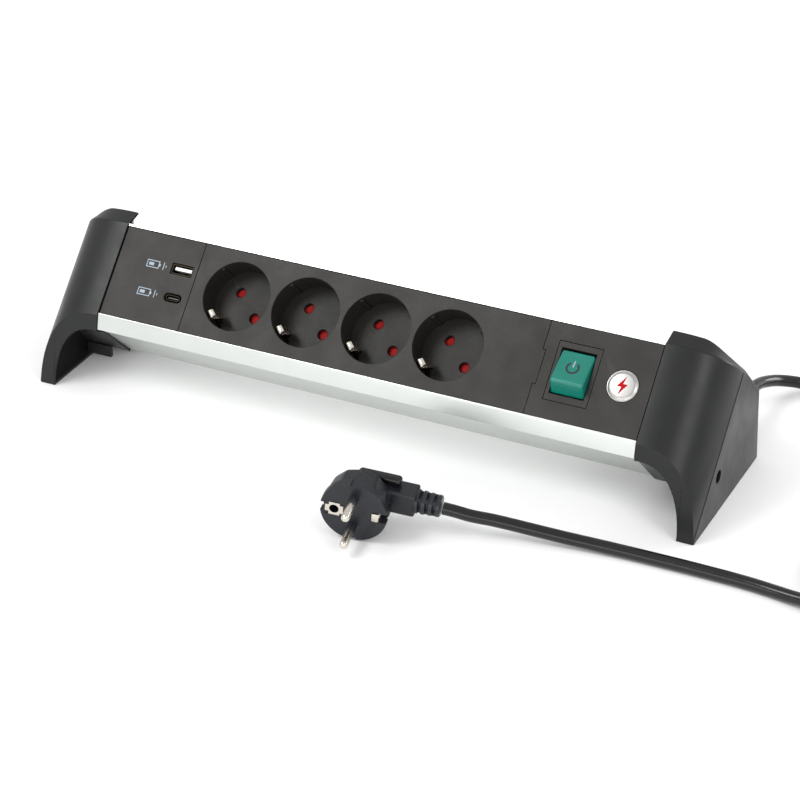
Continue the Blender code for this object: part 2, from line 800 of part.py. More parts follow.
def make_usb_ports():
    x, w = USB_A
    shell = solid("usb_a_shell", block((x - 6.7, w - 2.9, -13.8), (x + 6.7, w + 2.9, -0.6)), NICKEL)
    cut(shell, block((x - 6.3, w - 2.5, -13.3), (x + 6.3, w + 2.5, 1)))
    solid("usb_a_tongue", block((x - 5.5, w - 0.2, -13), (x + 5.5, w + 1.7, -2)), WHITE)
    x, w = USB_C
    shell = solid("usb_c_shell", prism(slot_outline(USB_C, 9, 3.3), -13.8, -0.6, "Z"), NICKEL)
    cut(shell, prism(slot_outline(USB_C, 8.4, 2.7), -13.3, 1, "Z"))
    solid("usb_c_tongue", block((x - 3.3, w - 0.35, -13), (x + 3.3, w + 0.35, -1.6)), INNER_GREY)


def make_usb_charger():
    solid("usb_board", block((-167, 6, -15.6), (-120.6, 50, -14.1)), BOARD_GREEN)
    solid("usb_transformer", block((-161, 11, -30), (-145, 28, -15.9)), YELLOW)
    tray = solid("usb_tray", block((-168.5, 5, -34), (-119.4, 51, -15.9)), INNER_GREY)
    cut(
        tray,
        block((-166.9, 6.6, -32.4), (-121, 49.4, -15)),
        block((-122, W - 2, -26), (-118, W + 2, -20)),
    )


# Wiring inside the channel.


def make_wiring():
    """Five cores: three from the cord to the switch and the earth bar, and two from switch to sockets."""
    pole_1, pole_2 = (SX + in_mm(x) for x in POLES)
    cord_end = 149.3
    base_end = 98.4
    live = [
        (cord_end, 38, -41.4),
        (147, 38, -41.6),
        (141, 36, -43.6),
        (133, 31.5, -45.4),
        (121.5, SW, -43),
        (pole_1, SW, -39),
        (pole_1, SW, -34.4),
    ]
    neutral = [
        (cord_end, 42, -41.4),
        (147, 42, -41.2),
        (140, 38, -39.6),
        (131.5, SW, -39.5),
        (pole_2, SW, -37.5),
        (pole_2, SW, -34.4),
    ]
    earth = [
        (cord_end, 40, -37.6),
        (147, 40, -37.4),
        (139, 44, -35),
        (124, 46, -32),
        (112, 40, -32.5),
        (105.5, W + 1.5, -35.5),
        (base_end, W, -38.2),
    ]
    switched_live = [
        (pole_1, CONTACT_W, -34.4),
        (pole_1, CONTACT_W, -38),
        (114.5, 24, -42),
        (108, 31, -41.5),
        (103, W + PIN, -38.2),
        (base_end, W + PIN, -37.8),
    ]
    switched_neutral = [
        (pole_2, CONTACT_W, -34.4),
        (pole_2, CONTACT_W, -38),
        (124, 17.5, -42),
        (112, 16.5, -42),
        (104, W - PIN, -38),
        (base_end, W - PIN, -37.8),
    ]
    for name, material, route in (
        ("wire_live", BROWN, live),
        ("wire_neutral", BLUE, neutral),
        ("wire_earth", YELLOW, earth),
        ("wire_switched_live", BROWN, switched_live),
        ("wire_switched_neutral", BLUE, switched_neutral),
    ):
        tube(name, spline_through(route, 3), 1.1, material, FACE)


# Where the cord comes in.


def make_clamp():
    w, n = CORD_ENTRY
    part = solid("cord_clamp", block((150, w - 10, -48.4), (158, w + 10, -35.5)), INNER_GREY)
    screws = [(154, w - 7), (154, w + 7)]
    cut(
        part,
        rod((148, w, n), 12, 3.9, "X", segments=24),
        joined([rod((*place, -50), 16, 1.5, segments=12) for place in screws]),
    )
    return part


def make_gland():
    """The gland in the right cap's rear wall, and the tapered boot outside it."""
    x, y, z = (in_mm(value) for value in GLAND)
    rearward = (math.radians(-90), 0, 0)
    gland = [(9, 2.6), (9, 0.3), (5.9, 0.3), (5.9, -9.5), (3.9, -9.5), (3.9, 2.6)]
    turned("cord_gland", gland, CAP_BLACK, None, (x, y, z), rearward, 24)
    length = in_mm(BOOT_LENGTH)
    boot = [(4.7, 2.9 + length), (5.0, 14), (6.6, 6), (6.8, 2.9), (3.9, 2.9), (3.9, 2.9 + length)]
    turned("strain_relief", boot, CORD_BLACK, None, (x, y, z), rearward, 24)
    end = y + 2.9 + length
    inside = face_to_side(*CORD_ENTRY)
    route = [
        (x, end - 0.2, z),
        (x, 70, z),
        (x, 52, z),
        (x, 43, z + 0.2),
        (x - 0.5, 35, z + 4),
        (x - 1.5, 28, 29),
        (x - 3, 19.5, 39.5),
        (x - 6.5, 13, 49),
        (x - 13, inside[0], inside[1] - 0.3),
        (170, *inside),
        (158, *inside),
        (149.8, *inside),
    ]
    tube("cord_inner_run", spline_through(route, 2), in_mm(CORD_RADIUS), CORD_BLACK)


# The free cord and its coil.


def make_cord():
    tube("cord_rear_run", spline_through(REAR_ROUTE, 2), in_mm(CORD_RADIUS), CORD_BLACK)
    tube("cord_front_run", spline_through(FRONT_ROUTE, 2), in_mm(CORD_RADIUS), CORD_BLACK)
    centre = [in_mm(value) for value in COIL_CENTRE]
    radius = in_mm(COIL_RADIUS)
    half = 11.2
    ring = [(radius + half, 15), (radius + half, 1), (radius - half, 1), (radius - half, 15)]
    turned("cord_coil", ring, CORD_BLACK, None, (*centre, 0), (0, 0, 0), 40)
    place, turn = (*centre, 0), (0, 0, math.radians(-60))
    band = block((radius - half - 1.1, -2, 0.1), (radius + half + 1.1, 2, 15.9))
    tie = solid("coil_tie", band, INNER_GREY, None, place, turn)
    opening = block((radius - half - 0.4, -3, 0.7), (radius + half + 0.4, 3, 15.3))
    combine(tie, "DIFFERENCE", cutter(opening, None, place, turn))


# The plug. In its frame the pins point along -Y and the cord leaves along +X.


def make_plug():
    radius = in_mm(PLUG_RADIUS)
    body = solid("plug_body", rod((0, 0, 0), 5, radius, "Y", segments=40), PLUG_BLACK, PLUG)
    fuse(
        body,
        rod((0, 4, 0), 14, 18.5, "Y", 17.4, segments=12),
        block((-10, 15, -11.5), (17, 26.5, 10)),
        block((10, 15, -7.2), (30.5, 28, 7.2)),
        rod((30, 21.5, 0), 14.2, 7, "X", 5.7, 20),
        parent=PLUG,
    )
    grooves = [block((-2.6, -1, z - 1.6), (2.6, 13, z + 1.6)) for z in (radius, -radius)]
    cut(
        body,
        rod((-10.8, -1, 0), 14, 2.9, "Y", segments=20),
        joined(grooves),
        block((16.8, -1, -3), (20, 11, 3)),
        block((-20, -1, -3), (-16.8, 11, 3)),
        parent=PLUG,
    )
    grip = solid("plug_grip", block((-2.7, 19.5, 10.4), (22, 25.8, 15.2)), CORD_BLACK, PLUG)
    soften(grip, 1.6, 3)
    pin = [(0, 0), (1.6, -0.3), (2.4, -1.6), (2.4, -18.7), (0, -18.7)]
    for name, z in (("plug_pin_1", 9.5), ("plug_pin_2", -9.5)):
        turned(name, pin, NICKEL, PLUG, (0, -19, z), (math.radians(90), 0, 0), 16)
    plate = solid("plug_earth_plate", block((-18.3, -0.9, -4.2), (-6, -0.3, 4.2)), NICKEL, PLUG)
    cut(plate, rod((-10.8, -2, 0), 4, 2.8, "Y", segments=20), parent=PLUG)
    solid("plug_earth_clip", block((17.2, -0.9, -2.4), (18.4, 9.6, 2.4)), NICKEL, PLUG)


def main():
    make_profile()
    make_usb_cover()
    make_socket_cover()
    make_switch_cover()
    make_badge()
    make_caps()
    make_cap_screws()
    make_socket_base()
    make_socket_lid()
    make_busbars()
    make_earth_contacts()
    make_shutters()
    make_switch_frame()
    make_rocker()
    make_switch_contacts()
    make_usb_ports()
    make_usb_charger()
    make_wiring()
    make_clamp()
    make_gland()
    make_cord()
    make_plug()


main()
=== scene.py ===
"""The looks of a desk power strip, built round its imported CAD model.

Sizes are given in millimetres and become metres in the meshes. Two frames are used besides the model's own:
the face frame has x along the bar, w up the tilted face and n out of it, and the plug frame has its pins
along -y and its cord along +x.
"""

import json
import math

import bmesh
import bpy
from mathutils import Euler, Matrix, Vector


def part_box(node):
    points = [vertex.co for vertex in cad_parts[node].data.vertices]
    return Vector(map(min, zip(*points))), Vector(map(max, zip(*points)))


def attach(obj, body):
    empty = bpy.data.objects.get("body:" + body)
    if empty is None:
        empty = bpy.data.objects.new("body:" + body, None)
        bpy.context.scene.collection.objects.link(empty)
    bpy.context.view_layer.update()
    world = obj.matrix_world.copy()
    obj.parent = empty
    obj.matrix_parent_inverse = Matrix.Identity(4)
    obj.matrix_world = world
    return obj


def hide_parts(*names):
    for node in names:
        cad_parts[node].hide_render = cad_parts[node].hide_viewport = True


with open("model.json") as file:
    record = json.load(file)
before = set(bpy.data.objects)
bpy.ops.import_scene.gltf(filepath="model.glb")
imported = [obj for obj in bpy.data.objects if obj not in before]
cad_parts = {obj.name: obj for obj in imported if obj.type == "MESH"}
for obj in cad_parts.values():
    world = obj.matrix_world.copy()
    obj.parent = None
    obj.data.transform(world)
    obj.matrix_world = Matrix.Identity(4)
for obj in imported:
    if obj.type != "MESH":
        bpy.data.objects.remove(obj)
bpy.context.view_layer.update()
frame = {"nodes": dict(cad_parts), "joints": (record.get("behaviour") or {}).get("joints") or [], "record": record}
JOINTS = {joint["name"]: joint for joint in frame["joints"]}
MM = 0.001


def mm(*values):
    """A vector from millimetres."""
    return Vector(values) * MM


# Frames and driving dimensions.

WELL_W = 29.0  # the sockets' height on the face
SHUTTER_N = -20.1  # the shutters' pivots, below the face
OUTWARD = -Vector(JOINTS["shutter_1_turn"]["axis"])
UP_FACE = OUTWARD.cross(Vector((1, 0, 0)))
TILT = math.atan2(UP_FACE.z, UP_FACE.y)
FACE_ORIGIN = Vector(JOINTS["shutter_1_turn"]["pos_m"]) - WELL_W * MM * UP_FACE - SHUTTER_N * MM * OUTWARD
FACE_ORIGIN.x = 0
FACE = Matrix.Translation(FACE_ORIGIN) @ Matrix.Rotation(TILT, 4, "X")
PLUG = Matrix.LocRotScale(mm(41.1, -132.0, 19.3), Euler([math.radians(a) for a in (6, 5.5, 11)]), None)
WELLS = [JOINTS[f"shutter_{k}_turn"]["pos_m"][0] / MM for k in range(1, 5)]
BAR_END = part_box("aluminium_profile")[1].x / MM
CAP_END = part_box("right_end_cap")[1].x / MM
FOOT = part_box("right_end_cap")[1].y / MM
CORD_RADIUS = 3.6
GLAND = Vector((190.0, 54.3, 18.0))
COIL_CENTRE = Vector((326.0, -42.0, 0.0))


def to_side(w, n):
    """The model's (y, z) of a point of the face frame, in millimetres."""
    point = FACE @ mm(0, w, n) / MM
    return Vector((point.y, point.z))


# The camera, the floor and the light.


def add_camera():
    """The photograph's viewing angle, as a camera that fits the sockets, the face's edges and the caps."""
    data = bpy.data.cameras.new("camera")
    data.lens = 121.873
    data.sensor_width = 36
    data.clip_end = 20
    camera = bpy.data.objects.new("camera", data)
    right, up, back = (0.90034, 0.43519, 0), (-0.2164, 0.44779, 0.86757), (0.37758, -0.78109, 0.49734)
    turn = Matrix((right, up, back)).transposed().to_4x4()
    camera.matrix_world = Matrix.Translation((0.60594, -1.24205, 0.80362)) @ turn
    bpy.context.collection.objects.link(camera)
    bpy.context.scene.camera = camera


def add_light(name, place, aim, size, power):
    """A soft rectangular light at a place in metres, turned towards another."""
    data = bpy.data.lights.new(name, "AREA")
    data.shape = "RECTANGLE"
    data.size, data.size_y = size
    data.energy = power
    light = bpy.data.objects.new(name, data)
    light.location = place
    light.rotation_euler = (Vector(aim) - Vector(place)).to_track_quat("-Z", "Y").to_euler()
    bpy.context.collection.objects.link(light)


def add_studio():
    """A white room with four soft lights, and a pale floor just under the object."""
    scene = bpy.context.scene
    scene.view_settings.view_transform = "Standard"
    scene.world = bpy.data.worlds.new("studio")
    scene.world.use_nodes = True
    background = scene.world.node_tree.nodes["Background"]
    background.inputs["Color"].default_value = (1, 1, 1, 1)
    background.inputs["Strength"].default_value = 0.85
    add_light("side", (1.1, 0.9, 0.4), (0.2, 0, 0.05), (0.8, 0.4), 7)
    add_light("key", (-0.9, -0.9, 1.5), (0, 0, 0.05), (0.9, 0.6), 14)
    add_light("fill", (1.3, -0.7, 1.0), (0.1, 0, 0.05), (0.5, 0.9), 6)
    add_light("front", (0.1, -1.4, 0.3), (0, 0, 0.03), (1.6, 0.35), 5)
    bm = bmesh.new()
    bmesh.ops.create_grid(bm, x_segments=1, y_segments=1, size=6)
    floor = add_object("floor", mesh_of(bm), plain("floor", (0.97, 0.97, 0.97), 0.7))
    floor.location.z = -0.0002


# Meshes.


def mesh_of(bm, smooth=None):
    """The mesh of a bmesh. With an angle in degrees it is shaded smooth up to that angle."""
    mesh = bpy.data.meshes.new("mesh")
    bmesh.ops.recalc_face_normals(bm, faces=bm.faces)
    bm.to_mesh(mesh)
    bm.free()
    if smooth:
        mesh.shade_smooth()
        mesh.set_sharp_from_angle(angle=math.radians(smooth))
    return mesh


def add_object(name, mesh, material):
    """A new object in the scene, with one material."""
    item = bpy.data.objects.new(name, mesh)
    bpy.context.collection.objects.link(item)
    item.data.materials.clear()
    item.data.materials.append(material)
    return item


def piece(name, mesh, material, body="housing", replaces=(), place=None):
    """A visible piece that rides on a CAD body. place is the frame that its mesh is drawn in."""
    if place is not None:
        mesh.transform(place)
    item = add_object(name, mesh, material)
    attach(item, body)
    if replaces:
        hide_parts(*replaces)
    return item


def box(low, high, round_edges=0.0, segments=2):
    """A box between two opposite corners in millimetres, with rounded edges."""
    bm = bmesh.new()
    bmesh.ops.create_cube(bm, size=1)
    low, high = mm(*low), mm(*high)
    for vertex in bm.verts:
        vertex.co = Vector([a + (b - a) * (c + 0.5) for a, b, c in zip(low, high, vertex.co)])
    if round_edges:
        bmesh.ops.bevel(
            bm, geom=bm.edges[:], offset=round_edges * MM, segments=segments, affect="EDGES", profile=0.5
        )
    return mesh_of(bm, 40)


def loft(rings, smooth=40):
    """A closed skin over rings of points in millimetres, each with the same number of points."""
    bm = bmesh.new()
    rows = [[bm.verts.new(mm(*point)) for point in ring] for ring in rings]
    for first, second in zip(rows, rows[1:]):
        for a, b, c, d in zip(first, first[1:] + first[:1], second[1:] + second[:1], second):
            bm.faces.new((a, b, c, d))
    bm.faces.new(rows[0])
    bm.faces.new(rows[-1][::-1])
    return mesh_of(bm, smooth)


def lathe(profile, steps=64, smooth=35):
    """A shape turned about Z from (radius, height) pairs; a radius of 0 closes it."""
    bm = bmesh.new()
    rows = []
    for radius, height in profile:
        if radius == 0:
            rows.append([bm.verts.new(mm(0, 0, height))])
            continue
        angles = [2 * math.pi * step / steps for step in range(steps)]
        rows.append([bm.verts.new(mm(radius * math.cos(a), radius * math.sin(a), height)) for a in angles])
    closed = rows if 0 in (profile[0][0], profile[-1][0]) else [*rows, rows[0]]
    for first, second in zip(closed, closed[1:]):
        for k in range(steps):
            corners = [first[k % len(first)], first[(k + 1) % len(first)]]
            corners += [second[(k + 1) % len(second)], second[k % len(second)]]
            corners = list(dict.fromkeys(corners))
            if len(corners) > 2:
                bm.faces.new(corners)
    return mesh_of(bm, smooth)


def prism(outline, low, high):
    """A flat outline of (x, y) points in millimetres, from one height to another along Z."""
    return loft([[(x, y, z) for x, y in outline] for z in (low, high)], 35)


def placed(mesh, x=0, y=0, z=0, turn=(0, 0, 0)):
    """The same mesh, turned by degrees and then moved by millimetres."""
    angles = Euler([math.radians(angle) for angle in turn])
    mesh.transform(Matrix.LocRotScale(mm(x, y, z), angles, None))
    return mesh


def mirrored(mesh, side):
    """The mesh itself, or its mirror image across the middle of the bar."""
    if side < 0:
        mesh.transform(Matrix.Scale(-1, 4, (1, 0, 0)))
        mesh.flip_normals()
    return mesh


def merged(*meshes, smooth=None):
    """Several meshes in one, without joining their surfaces."""
    bm = bmesh.new()
    for mesh in meshes:
        bm.from_mesh(mesh)
    return mesh_of(bm, smooth)


def carved(mesh, *steps, smooth=30):
    """The mesh after Boolean steps, each an operation and a mesh."""
    target = bpy.data.objects.new("carved", mesh)
    bpy.context.collection.objects.link(target)
    tools = []
    for operation, other in steps:
        tool = bpy.data.objects.new("tool", other)
        bpy.context.collection.objects.link(tool)
        tools.append(tool)
        modifier = target.modifiers.new("step", "BOOLEAN")
        modifier.operation = operation
        modifier.solver = "EXACT"
        modifier.object = tool
    view = bpy.context.evaluated_depsgraph_get()
    view.update()
    made = bpy.data.meshes.new_from_object(target.evaluated_get(view))
    for item in (target, *tools):
        bpy.data.objects.remove(item)
    made.shade_smooth()
    made.set_sharp_from_angle(angle=math.radians(smooth))
    return made


def bevelled(mesh, width, pick):
    """The mesh with some sharp edges rounded: those for which pick(start, end) in millimetres is true."""
    bm = bmesh.new()
    bm.from_mesh(mesh)
    sharp = math.radians(30)
    edges = [
        edge
        for edge in bm.edges
        if len(edge.link_faces) == 2
        and edge.calc_face_angle(0) > sharp
        and pick(edge.verts[0].co / MM, edge.verts[1].co / MM)
    ]
    bmesh.ops.bevel(
        bm, geom=edges, offset=width * MM, segments=3, affect="EDGES", profile=0.5, clamp_overlap=False
    )
    return mesh_of(bm, 30)


def even_shading(item):
    """Flat faces stay flat beside rounded edges."""
    modifier = item.modifiers.new("normals", "WEIGHTED_NORMAL")
    modifier.keep_sharp = True
    modifier.weight = 100
    return item


def softened(name, width):
    """Rounds a CAD node's edges with modifiers, which leave its own mesh as it is."""
    node = frame["nodes"][name]
    weld = node.modifiers.new("weld", "WELD")
    weld.merge_threshold = 0.00001
    flat = node.modifiers.new("flat", "DECIMATE")
    flat.decimate_type = "DISSOLVE"
    flat.angle_limit = math.radians(0.5)
    edge = node.modifiers.new("edge", "BEVEL")
    edge.width = width * MM
    edge.segments = 2
    edge.limit_method = "ANGLE"
    edge.angle_limit = math.radians(35)
    node.data.shade_smooth()
    node.data.set_sharp_from_angle(angle=math.radians(35))
    return even_shading(node)


def rounded(corners, radii, segments=4):
    """A polygon of 2D points with an arc at each corner, of one number of points each."""
    outline = []
    count = len(corners)
    for index, (corner, radius) in enumerate(zip(corners, radii)):
        before = corners[index - 1] - corner
        after = corners[(index + 1) % count] - corner
        half = before.angle(after) / 2
        reach = min(radius / math.tan(half), before.length * 0.45, after.length * 0.45)
        start, end = corner + before.normalized() * reach, corner + after.normalized() * reach
        for step in range(segments + 1):
            t = step / segments
            outline.append((1 - t) ** 2 * start + 2 * t * (1 - t) * corner + t**2 * end)
    return outline


# Materials.


def link_chain(tree, *sockets):
    """Links sockets in pairs: the first to the second, the third to the fourth."""
    for source, target in zip(sockets[::2], sockets[1::2]):
        tree.links.new(source, target)


def plain(name, colour, roughness, metallic=0.0):
    """A material with one colour and gloss."""
    material = bpy.data.materials.new(name)
    material.use_nodes = True
    shader = material.node_tree.nodes["Principled BSDF"]
    shader.inputs["Base Color"].default_value = (*colour, 1)
    shader.inputs["Roughness"].default_value = roughness
    shader.inputs["Metallic"].default_value = metallic
    return material


def add_noise(tree, size, detail=3.0, stretch=(1, 1, 1)):
    """A noise whose grain is a size in millimetres, stretched along an axis. Returns its factor."""
    coordinates = tree.nodes.new("ShaderNodeTexCoord")
    mapping = tree.nodes.new("ShaderNodeMapping")
    mapping.inputs["Scale"].default_value = [1 / factor for factor in stretch]
    noise = tree.nodes.new("ShaderNodeTexNoise")
    noise.inputs["Scale"].default_value = 1 / (size * MM)
    noise.inputs["Detail"].default_value = detail
    tree.links.new(coordinates.outputs["Object"], mapping.inputs["Vector"])
    tree.links.new(mapping.outputs["Vector"], noise.inputs["Vector"])
    return noise.outputs["Fac"]


def add_range(tree, value, low, high, start=0.3, end=0.7):
    """The value, spread from between start and end to between low and high."""
    spread = tree.nodes.new("ShaderNodeMapRange")
    spread.inputs["From Min"].default_value = start
    spread.inputs["From Max"].default_value = end
    spread.inputs["To Min"].default_value = low
    spread.inputs["To Max"].default_value = high
    tree.links.new(value, spread.inputs["Value"])
    return spread.outputs["Result"]


def add_mix(tree, factor, first, second):
    """A blend of two colours, each a tuple or a socket."""
    mix = tree.nodes.new("ShaderNodeMix")
    mix.data_type = "RGBA"
    colours = [socket for socket in mix.inputs if socket.type == "RGBA"]
    for colour, value in zip(colours, (first, second)):
        if isinstance(value, tuple):
            colour.default_value = (*value, 1)
        else:
            tree.links.new(value, colour)
    tree.links.new(factor, mix.inputs[0])
    return mix.outputs[2]


def moulded(name, colour, roughness, grain, depth, worn=1.6, stain=0.12, specular=0.5, coat=0.0):
    """A moulded plastic: uneven tone, a fine eroded grain in its bump and gloss, and paler worn edges."""
    material = plain(name, colour, roughness)
    tree = material.node_tree
    shader = tree.nodes["Principled BSDF"]
    shader.inputs["Specular IOR Level"].default_value = specular
    shader.inputs["Coat Weight"].default_value = coat
    shader.inputs["Coat Roughness"].default_value = 0.12
    dark = tuple(channel * (1 - stain) for channel in colour)
    pale = tuple(channel * (1 + stain) for channel in colour)
    tone = add_mix(tree, add_range(tree, add_noise(tree, 34, 4), 0, 1), dark, pale)
    edges = tree.nodes.new("ShaderNodeNewGeometry").outputs["Pointiness"]
    wear = add_range(tree, edges, 0, 0.5, 0.53, 0.62)
    tree.links.new(add_mix(tree, wear, tone, tuple(c * worn for c in colour)), shader.inputs["Base Color"])
    fine = add_noise(tree, grain, 2)
    uneven = add_range(tree, add_noise(tree, 18, 5), roughness - 0.05, roughness + 0.06)
    rough = tree.nodes.new("ShaderNodeMath")
    rough.operation = "ADD"
    link_chain(tree, uneven, rough.inputs[0], add_range(tree, fine, -0.04, 0.04), rough.inputs[1])
    tree.links.new(rough.outputs[0], shader.inputs["Roughness"])
    bump = tree.nodes.new("ShaderNodeBump")
    bump.inputs["Strength"].default_value = 1
    bump.inputs["Distance"].default_value = depth * MM
    link_chain(tree, fine, bump.inputs["Height"], bump.outputs["Normal"], shader.inputs["Normal"])
    return material


def metallic(name, colour, roughness, grain, depth, stretch=(1, 1, 1), stain=0.06):
    """A metal with drawn or plated texture: streaks of gloss and tone, and fine lines in its bump."""
    material = plain(name, colour, roughness, 1.0)
    tree = material.node_tree
    shader = tree.nodes["Principled BSDF"]
    streaks = add_noise(tree, grain, 3, stretch)
    cloud = add_noise(tree, 25, 4)
    dark = tuple(channel * (1 - stain) for channel in colour)
    tree.links.new(add_mix(tree, add_range(tree, cloud, 0, 1), dark, colour), shader.inputs["Base Color"])
    rough = add_range(tree, streaks, roughness - 0.05, roughness + 0.07)
    bump = tree.nodes.new("ShaderNodeBump")
    bump.inputs["Strength"].default_value = 1
    bump.inputs["Distance"].default_value = depth * MM
    link_chain(tree, rough, shader.inputs["Roughness"], streaks, bump.inputs["Height"])
    link_chain(tree, bump.outputs["Normal"], shader.inputs["Normal"])
    return material


FINISH = {
    "aluminium": metallic("satin_aluminium", (0.6, 0.625, 0.605), 0.34, 0.35, 0.0015, (60, 1, 1), 0.03),
    "cap_plastic": moulded("cap_plastic", (0.0115, 0.012, 0.012), 0.36, 0.28, 0.006, 2.2, 0.08, 0.3),
    "face_plastic": moulded("face_plastic", (0.0128, 0.0116, 0.0098), 0.48, 0.55, 0.1, 2.6, 0.3, 0.36),
    "inner_plastic": moulded("inner_plastic", (0.05, 0.05, 0.05), 0.5, 0.6, 0.01),
    "rocker_green": moulded("rocker_green", (0.003, 0.165, 0.122), 0.24, 0.8, 0.002, 1.3, 0.1, 0.4, 0.2),
    "shutter_red": moulded("shutter_red", (0.32, 0.004, 0.004), 0.45, 0.5, 0.004, 1.1, 0.08, 0.1),
    "contact_brass": metallic("contact_brass", (0.7, 0.52, 0.25), 0.28, 0.5, 0.002, (1, 8, 1)),
    "nickel": metallic("nickel", (0.66, 0.62, 0.55), 0.24, 0.5, 0.001, (1, 1, 6)),
    "zinc_steel": metallic("zinc_steel", (0.55, 0.56, 0.57), 0.32, 0.6, 0.003),
    "cord_pvc": moulded("cord_pvc", (0.004, 0.004, 0.005), 0.2, 0.7, 0.004, 1.5, 0.1, 0.36, 0.15),
    "plug_pvc": moulded("plug_pvc", (0.0095, 0.0105, 0.014), 0.33, 0.3, 0.008, 2.4, 0.08, 0.4),
    "circuit_board": moulded("circuit_board", (0.02, 0.16, 0.06), 0.35, 1.2, 0.01),
    "white_plastic": moulded("white_plastic", (0.75, 0.75, 0.73), 0.35, 0.6, 0.003, 1.05, 0.03),
    "wire_brown": moulded("wire_brown", (0.2, 0.08, 0.03), 0.35, 0.7, 0.004),
    "wire_blue": moulded("wire_blue", (0.05, 0.12, 0.5), 0.35, 0.7, 0.004),
    "wire_yellow": moulded("wire_yellow", (0.6, 0.6, 0.05), 0.35, 0.7, 0.004),
}
PEARL = metallic("pearl_silver", (0.5, 0.49, 0.475), 0.36, 1.5, 0.002, (1, 1, 1), 0.14)
# The ports' shells: a near-black bronze metal. The darkness is painted shade, where the shells sit in shadow in
# their openings.
PORT_SHADE_METAL = metallic("port_painted_shade_metal", (0.035, 0.028, 0.02), 0.42, 0.5, 0.002)
# The cap plastic made darker and duller for the arch's inside. The darkness is painted shade.
CAP_PAINTED_SHADE = moulded("cap_painted_shade", (0.004, 0.004, 0.004), 0.7, 0.3, 0.004, 1.5, 0.1, 0.08)
PRINT = moulded("pale_print", (0.3, 0.36, 0.42), 0.6, 0.5, 0.002, 1.0, 0.2)
MARK_RED = moulded("mark_red", (0.4, 0.004, 0.008), 0.5, 0.5, 0.002, 1.0, 0.1, 0.08)
MARK_DARK = moulded("mark_dark", (0.015, 0.016, 0.016), 0.4, 0.5, 0.002, 1.0, 0.1)


# The cord.

# Its two free runs, in millimetres, as the CAD has them: from the boot to the coil, and on to the plug.
REAR_ROUTE = [
    (190, 89.5, 18),
    (190, 99, 17.2),
    (192.5, 112, 14.2),
    (200, 125, 10),
    (213, 133.5, 6),
    (228, 134, 3.9),
    (243, 127, 3.7),
    (256, 113, 3.7),
    (265, 93, 3.7),
    (269.5, 71, 3.7),
    (273.5, 49, 3.7),
    (279.5, 31, 3.7),
    (288.5, 18.5, 3.9),
    (300, 11.7, 4.3),
    (312.2, 8.95, 4.6),
]
FRONT_ROUTE = [
    (299.2, -87.9, 8.0),
    (289, -87.3, 6.2),
    (277, -85.1, 4.6),
    (264, -82.7, 3.8),
    (250, -81.3, 3.7),
    (229, -80.8, 3.7),
    (200, -81.1, 3.8),
    (172, -82.4, 4.3),
    (145, -85.9, 6.0),
    (124, -90, 8.6),
    (108, -94.2, 11.2),
    (95.5, -98.9, 13.6),
    (88, -100.6, 15.1),
    (81.1, -102.2, 16.2),
]
# Where each half turn of the coil lies, as (radius, height): three turns below, then three above.
LOW, HIGH = 4.6, 11.4
INNER, MIDDLE, OUTER = 30.3, 37.8, 45.3
COIL_LAYS = [(OUTER, LOW), (MIDDLE, LOW), (INNER, LOW), (INNER, HIGH), (MIDDLE, HIGH), (OUTER, HIGH)]


def smooth_step(t):
    """From 0 to 1 with no kink at either end."""
    t = min(max(t, 0.0), 1.0)
    return t * t * (3 - 2 * t)


def polar(point):
    """A point's angle about the coil's centre, in degrees."""
    return math.degrees(math.atan2(point[1] - COIL_CENTRE.y, point[0] - COIL_CENTRE.x))


def coil_points():
    """The coil, wound clockwise from the rear run's end to the front run's start.

    Each turn keeps its own radius and height, and moves to the next turn's over its last share.
    """
    per_turn, shift = 24, 0.3
    far = 52.8  # from the coil's centre to either run's end
    tangent = math.degrees(math.acos(OUTER / far))
    start = polar(REAR_ROUTE[-1]) - tangent
    end = polar(FRONT_ROUTE[0]) + tangent
    sweep = (start - end) % 360 + 360 * (len(COIL_LAYS) - 1)
    lays_per_turn = len(COIL_LAYS) / (sweep / 360)
    points = []
    steps = round(sweep / 360 * per_turn)
    for step in range(steps + 1):
        turns = sweep * step / steps / 360
        lay = min(int(turns * lays_per_turn), len(COIL_LAYS) - 1)
        share = turns * lays_per_turn - lay
        here, there = COIL_LAYS[lay], COIL_LAYS[min(lay + 1, len(COIL_LAYS) - 1)]
        blend = smooth_step((share - 1 + shift) / shift)
        radius, height = (a + (b - a) * blend for a, b in zip(here, there))
        angle = math.radians(start - 360 * turns)
        flat = Vector((math.cos(angle), math.sin(angle), 0)) * radius
        points.append(COIL_CENTRE + flat + Vector((0, 0, height)))
    return points


def add_cord():
    """One curve from the gland to the plug, through its boot, its rear run, its coil and its front run."""
    inside = [(190, 57.5, 18), (190, 66, 18), (190, 78, 18)]
    points = [*inside, *REAR_ROUTE, *coil_points(), *FRONT_ROUTE]
    curve = bpy.data.curves.new("mains_cord", "CURVE")
    curve.dimensions = "3D"
    curve.bevel_depth = CORD_RADIUS * MM
    curve.bevel_resolution = 6
    curve.use_fill_caps = True
    curve.resolution_u = 6
    spline = curve.splines.new("BEZIER")
    spline.bezier_points.add(len(points) - 1)
    for target, point in zip(spline.bezier_points, points):
        target.co = mm(*point)
        target.handle_left_type = target.handle_right_type = "AUTO"
    cord = add_object("mains_cord", curve, FINISH["cord_pvc"])
    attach(cord, "housing")
    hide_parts("cord_rear_run", "cord_coil", "cord_front_run")
    return cord


CORD = add_cord()
add_camera()
add_studio()


# The end caps.

# A cap's top falls along a superellipse towards its outer end, from CAP_TOP to SIDE_TOP over the face.
SHOULDER_N, SHOULDER_DROP, SHOULDER_POWER = -36, 36.9, 2.5
SIDE_TOP = -28.2
CAP_TOP = 0.9
FRONT_EDGE, FOLD_EDGE, REAR_EDGE = -1.4, 57.7, 66.9  # along the face
CROWN_DROP = 6.0  # from the fold down to the crown's rear edge
SIDE_ROUND, SEAM_ROUND = 0.9, 0.35
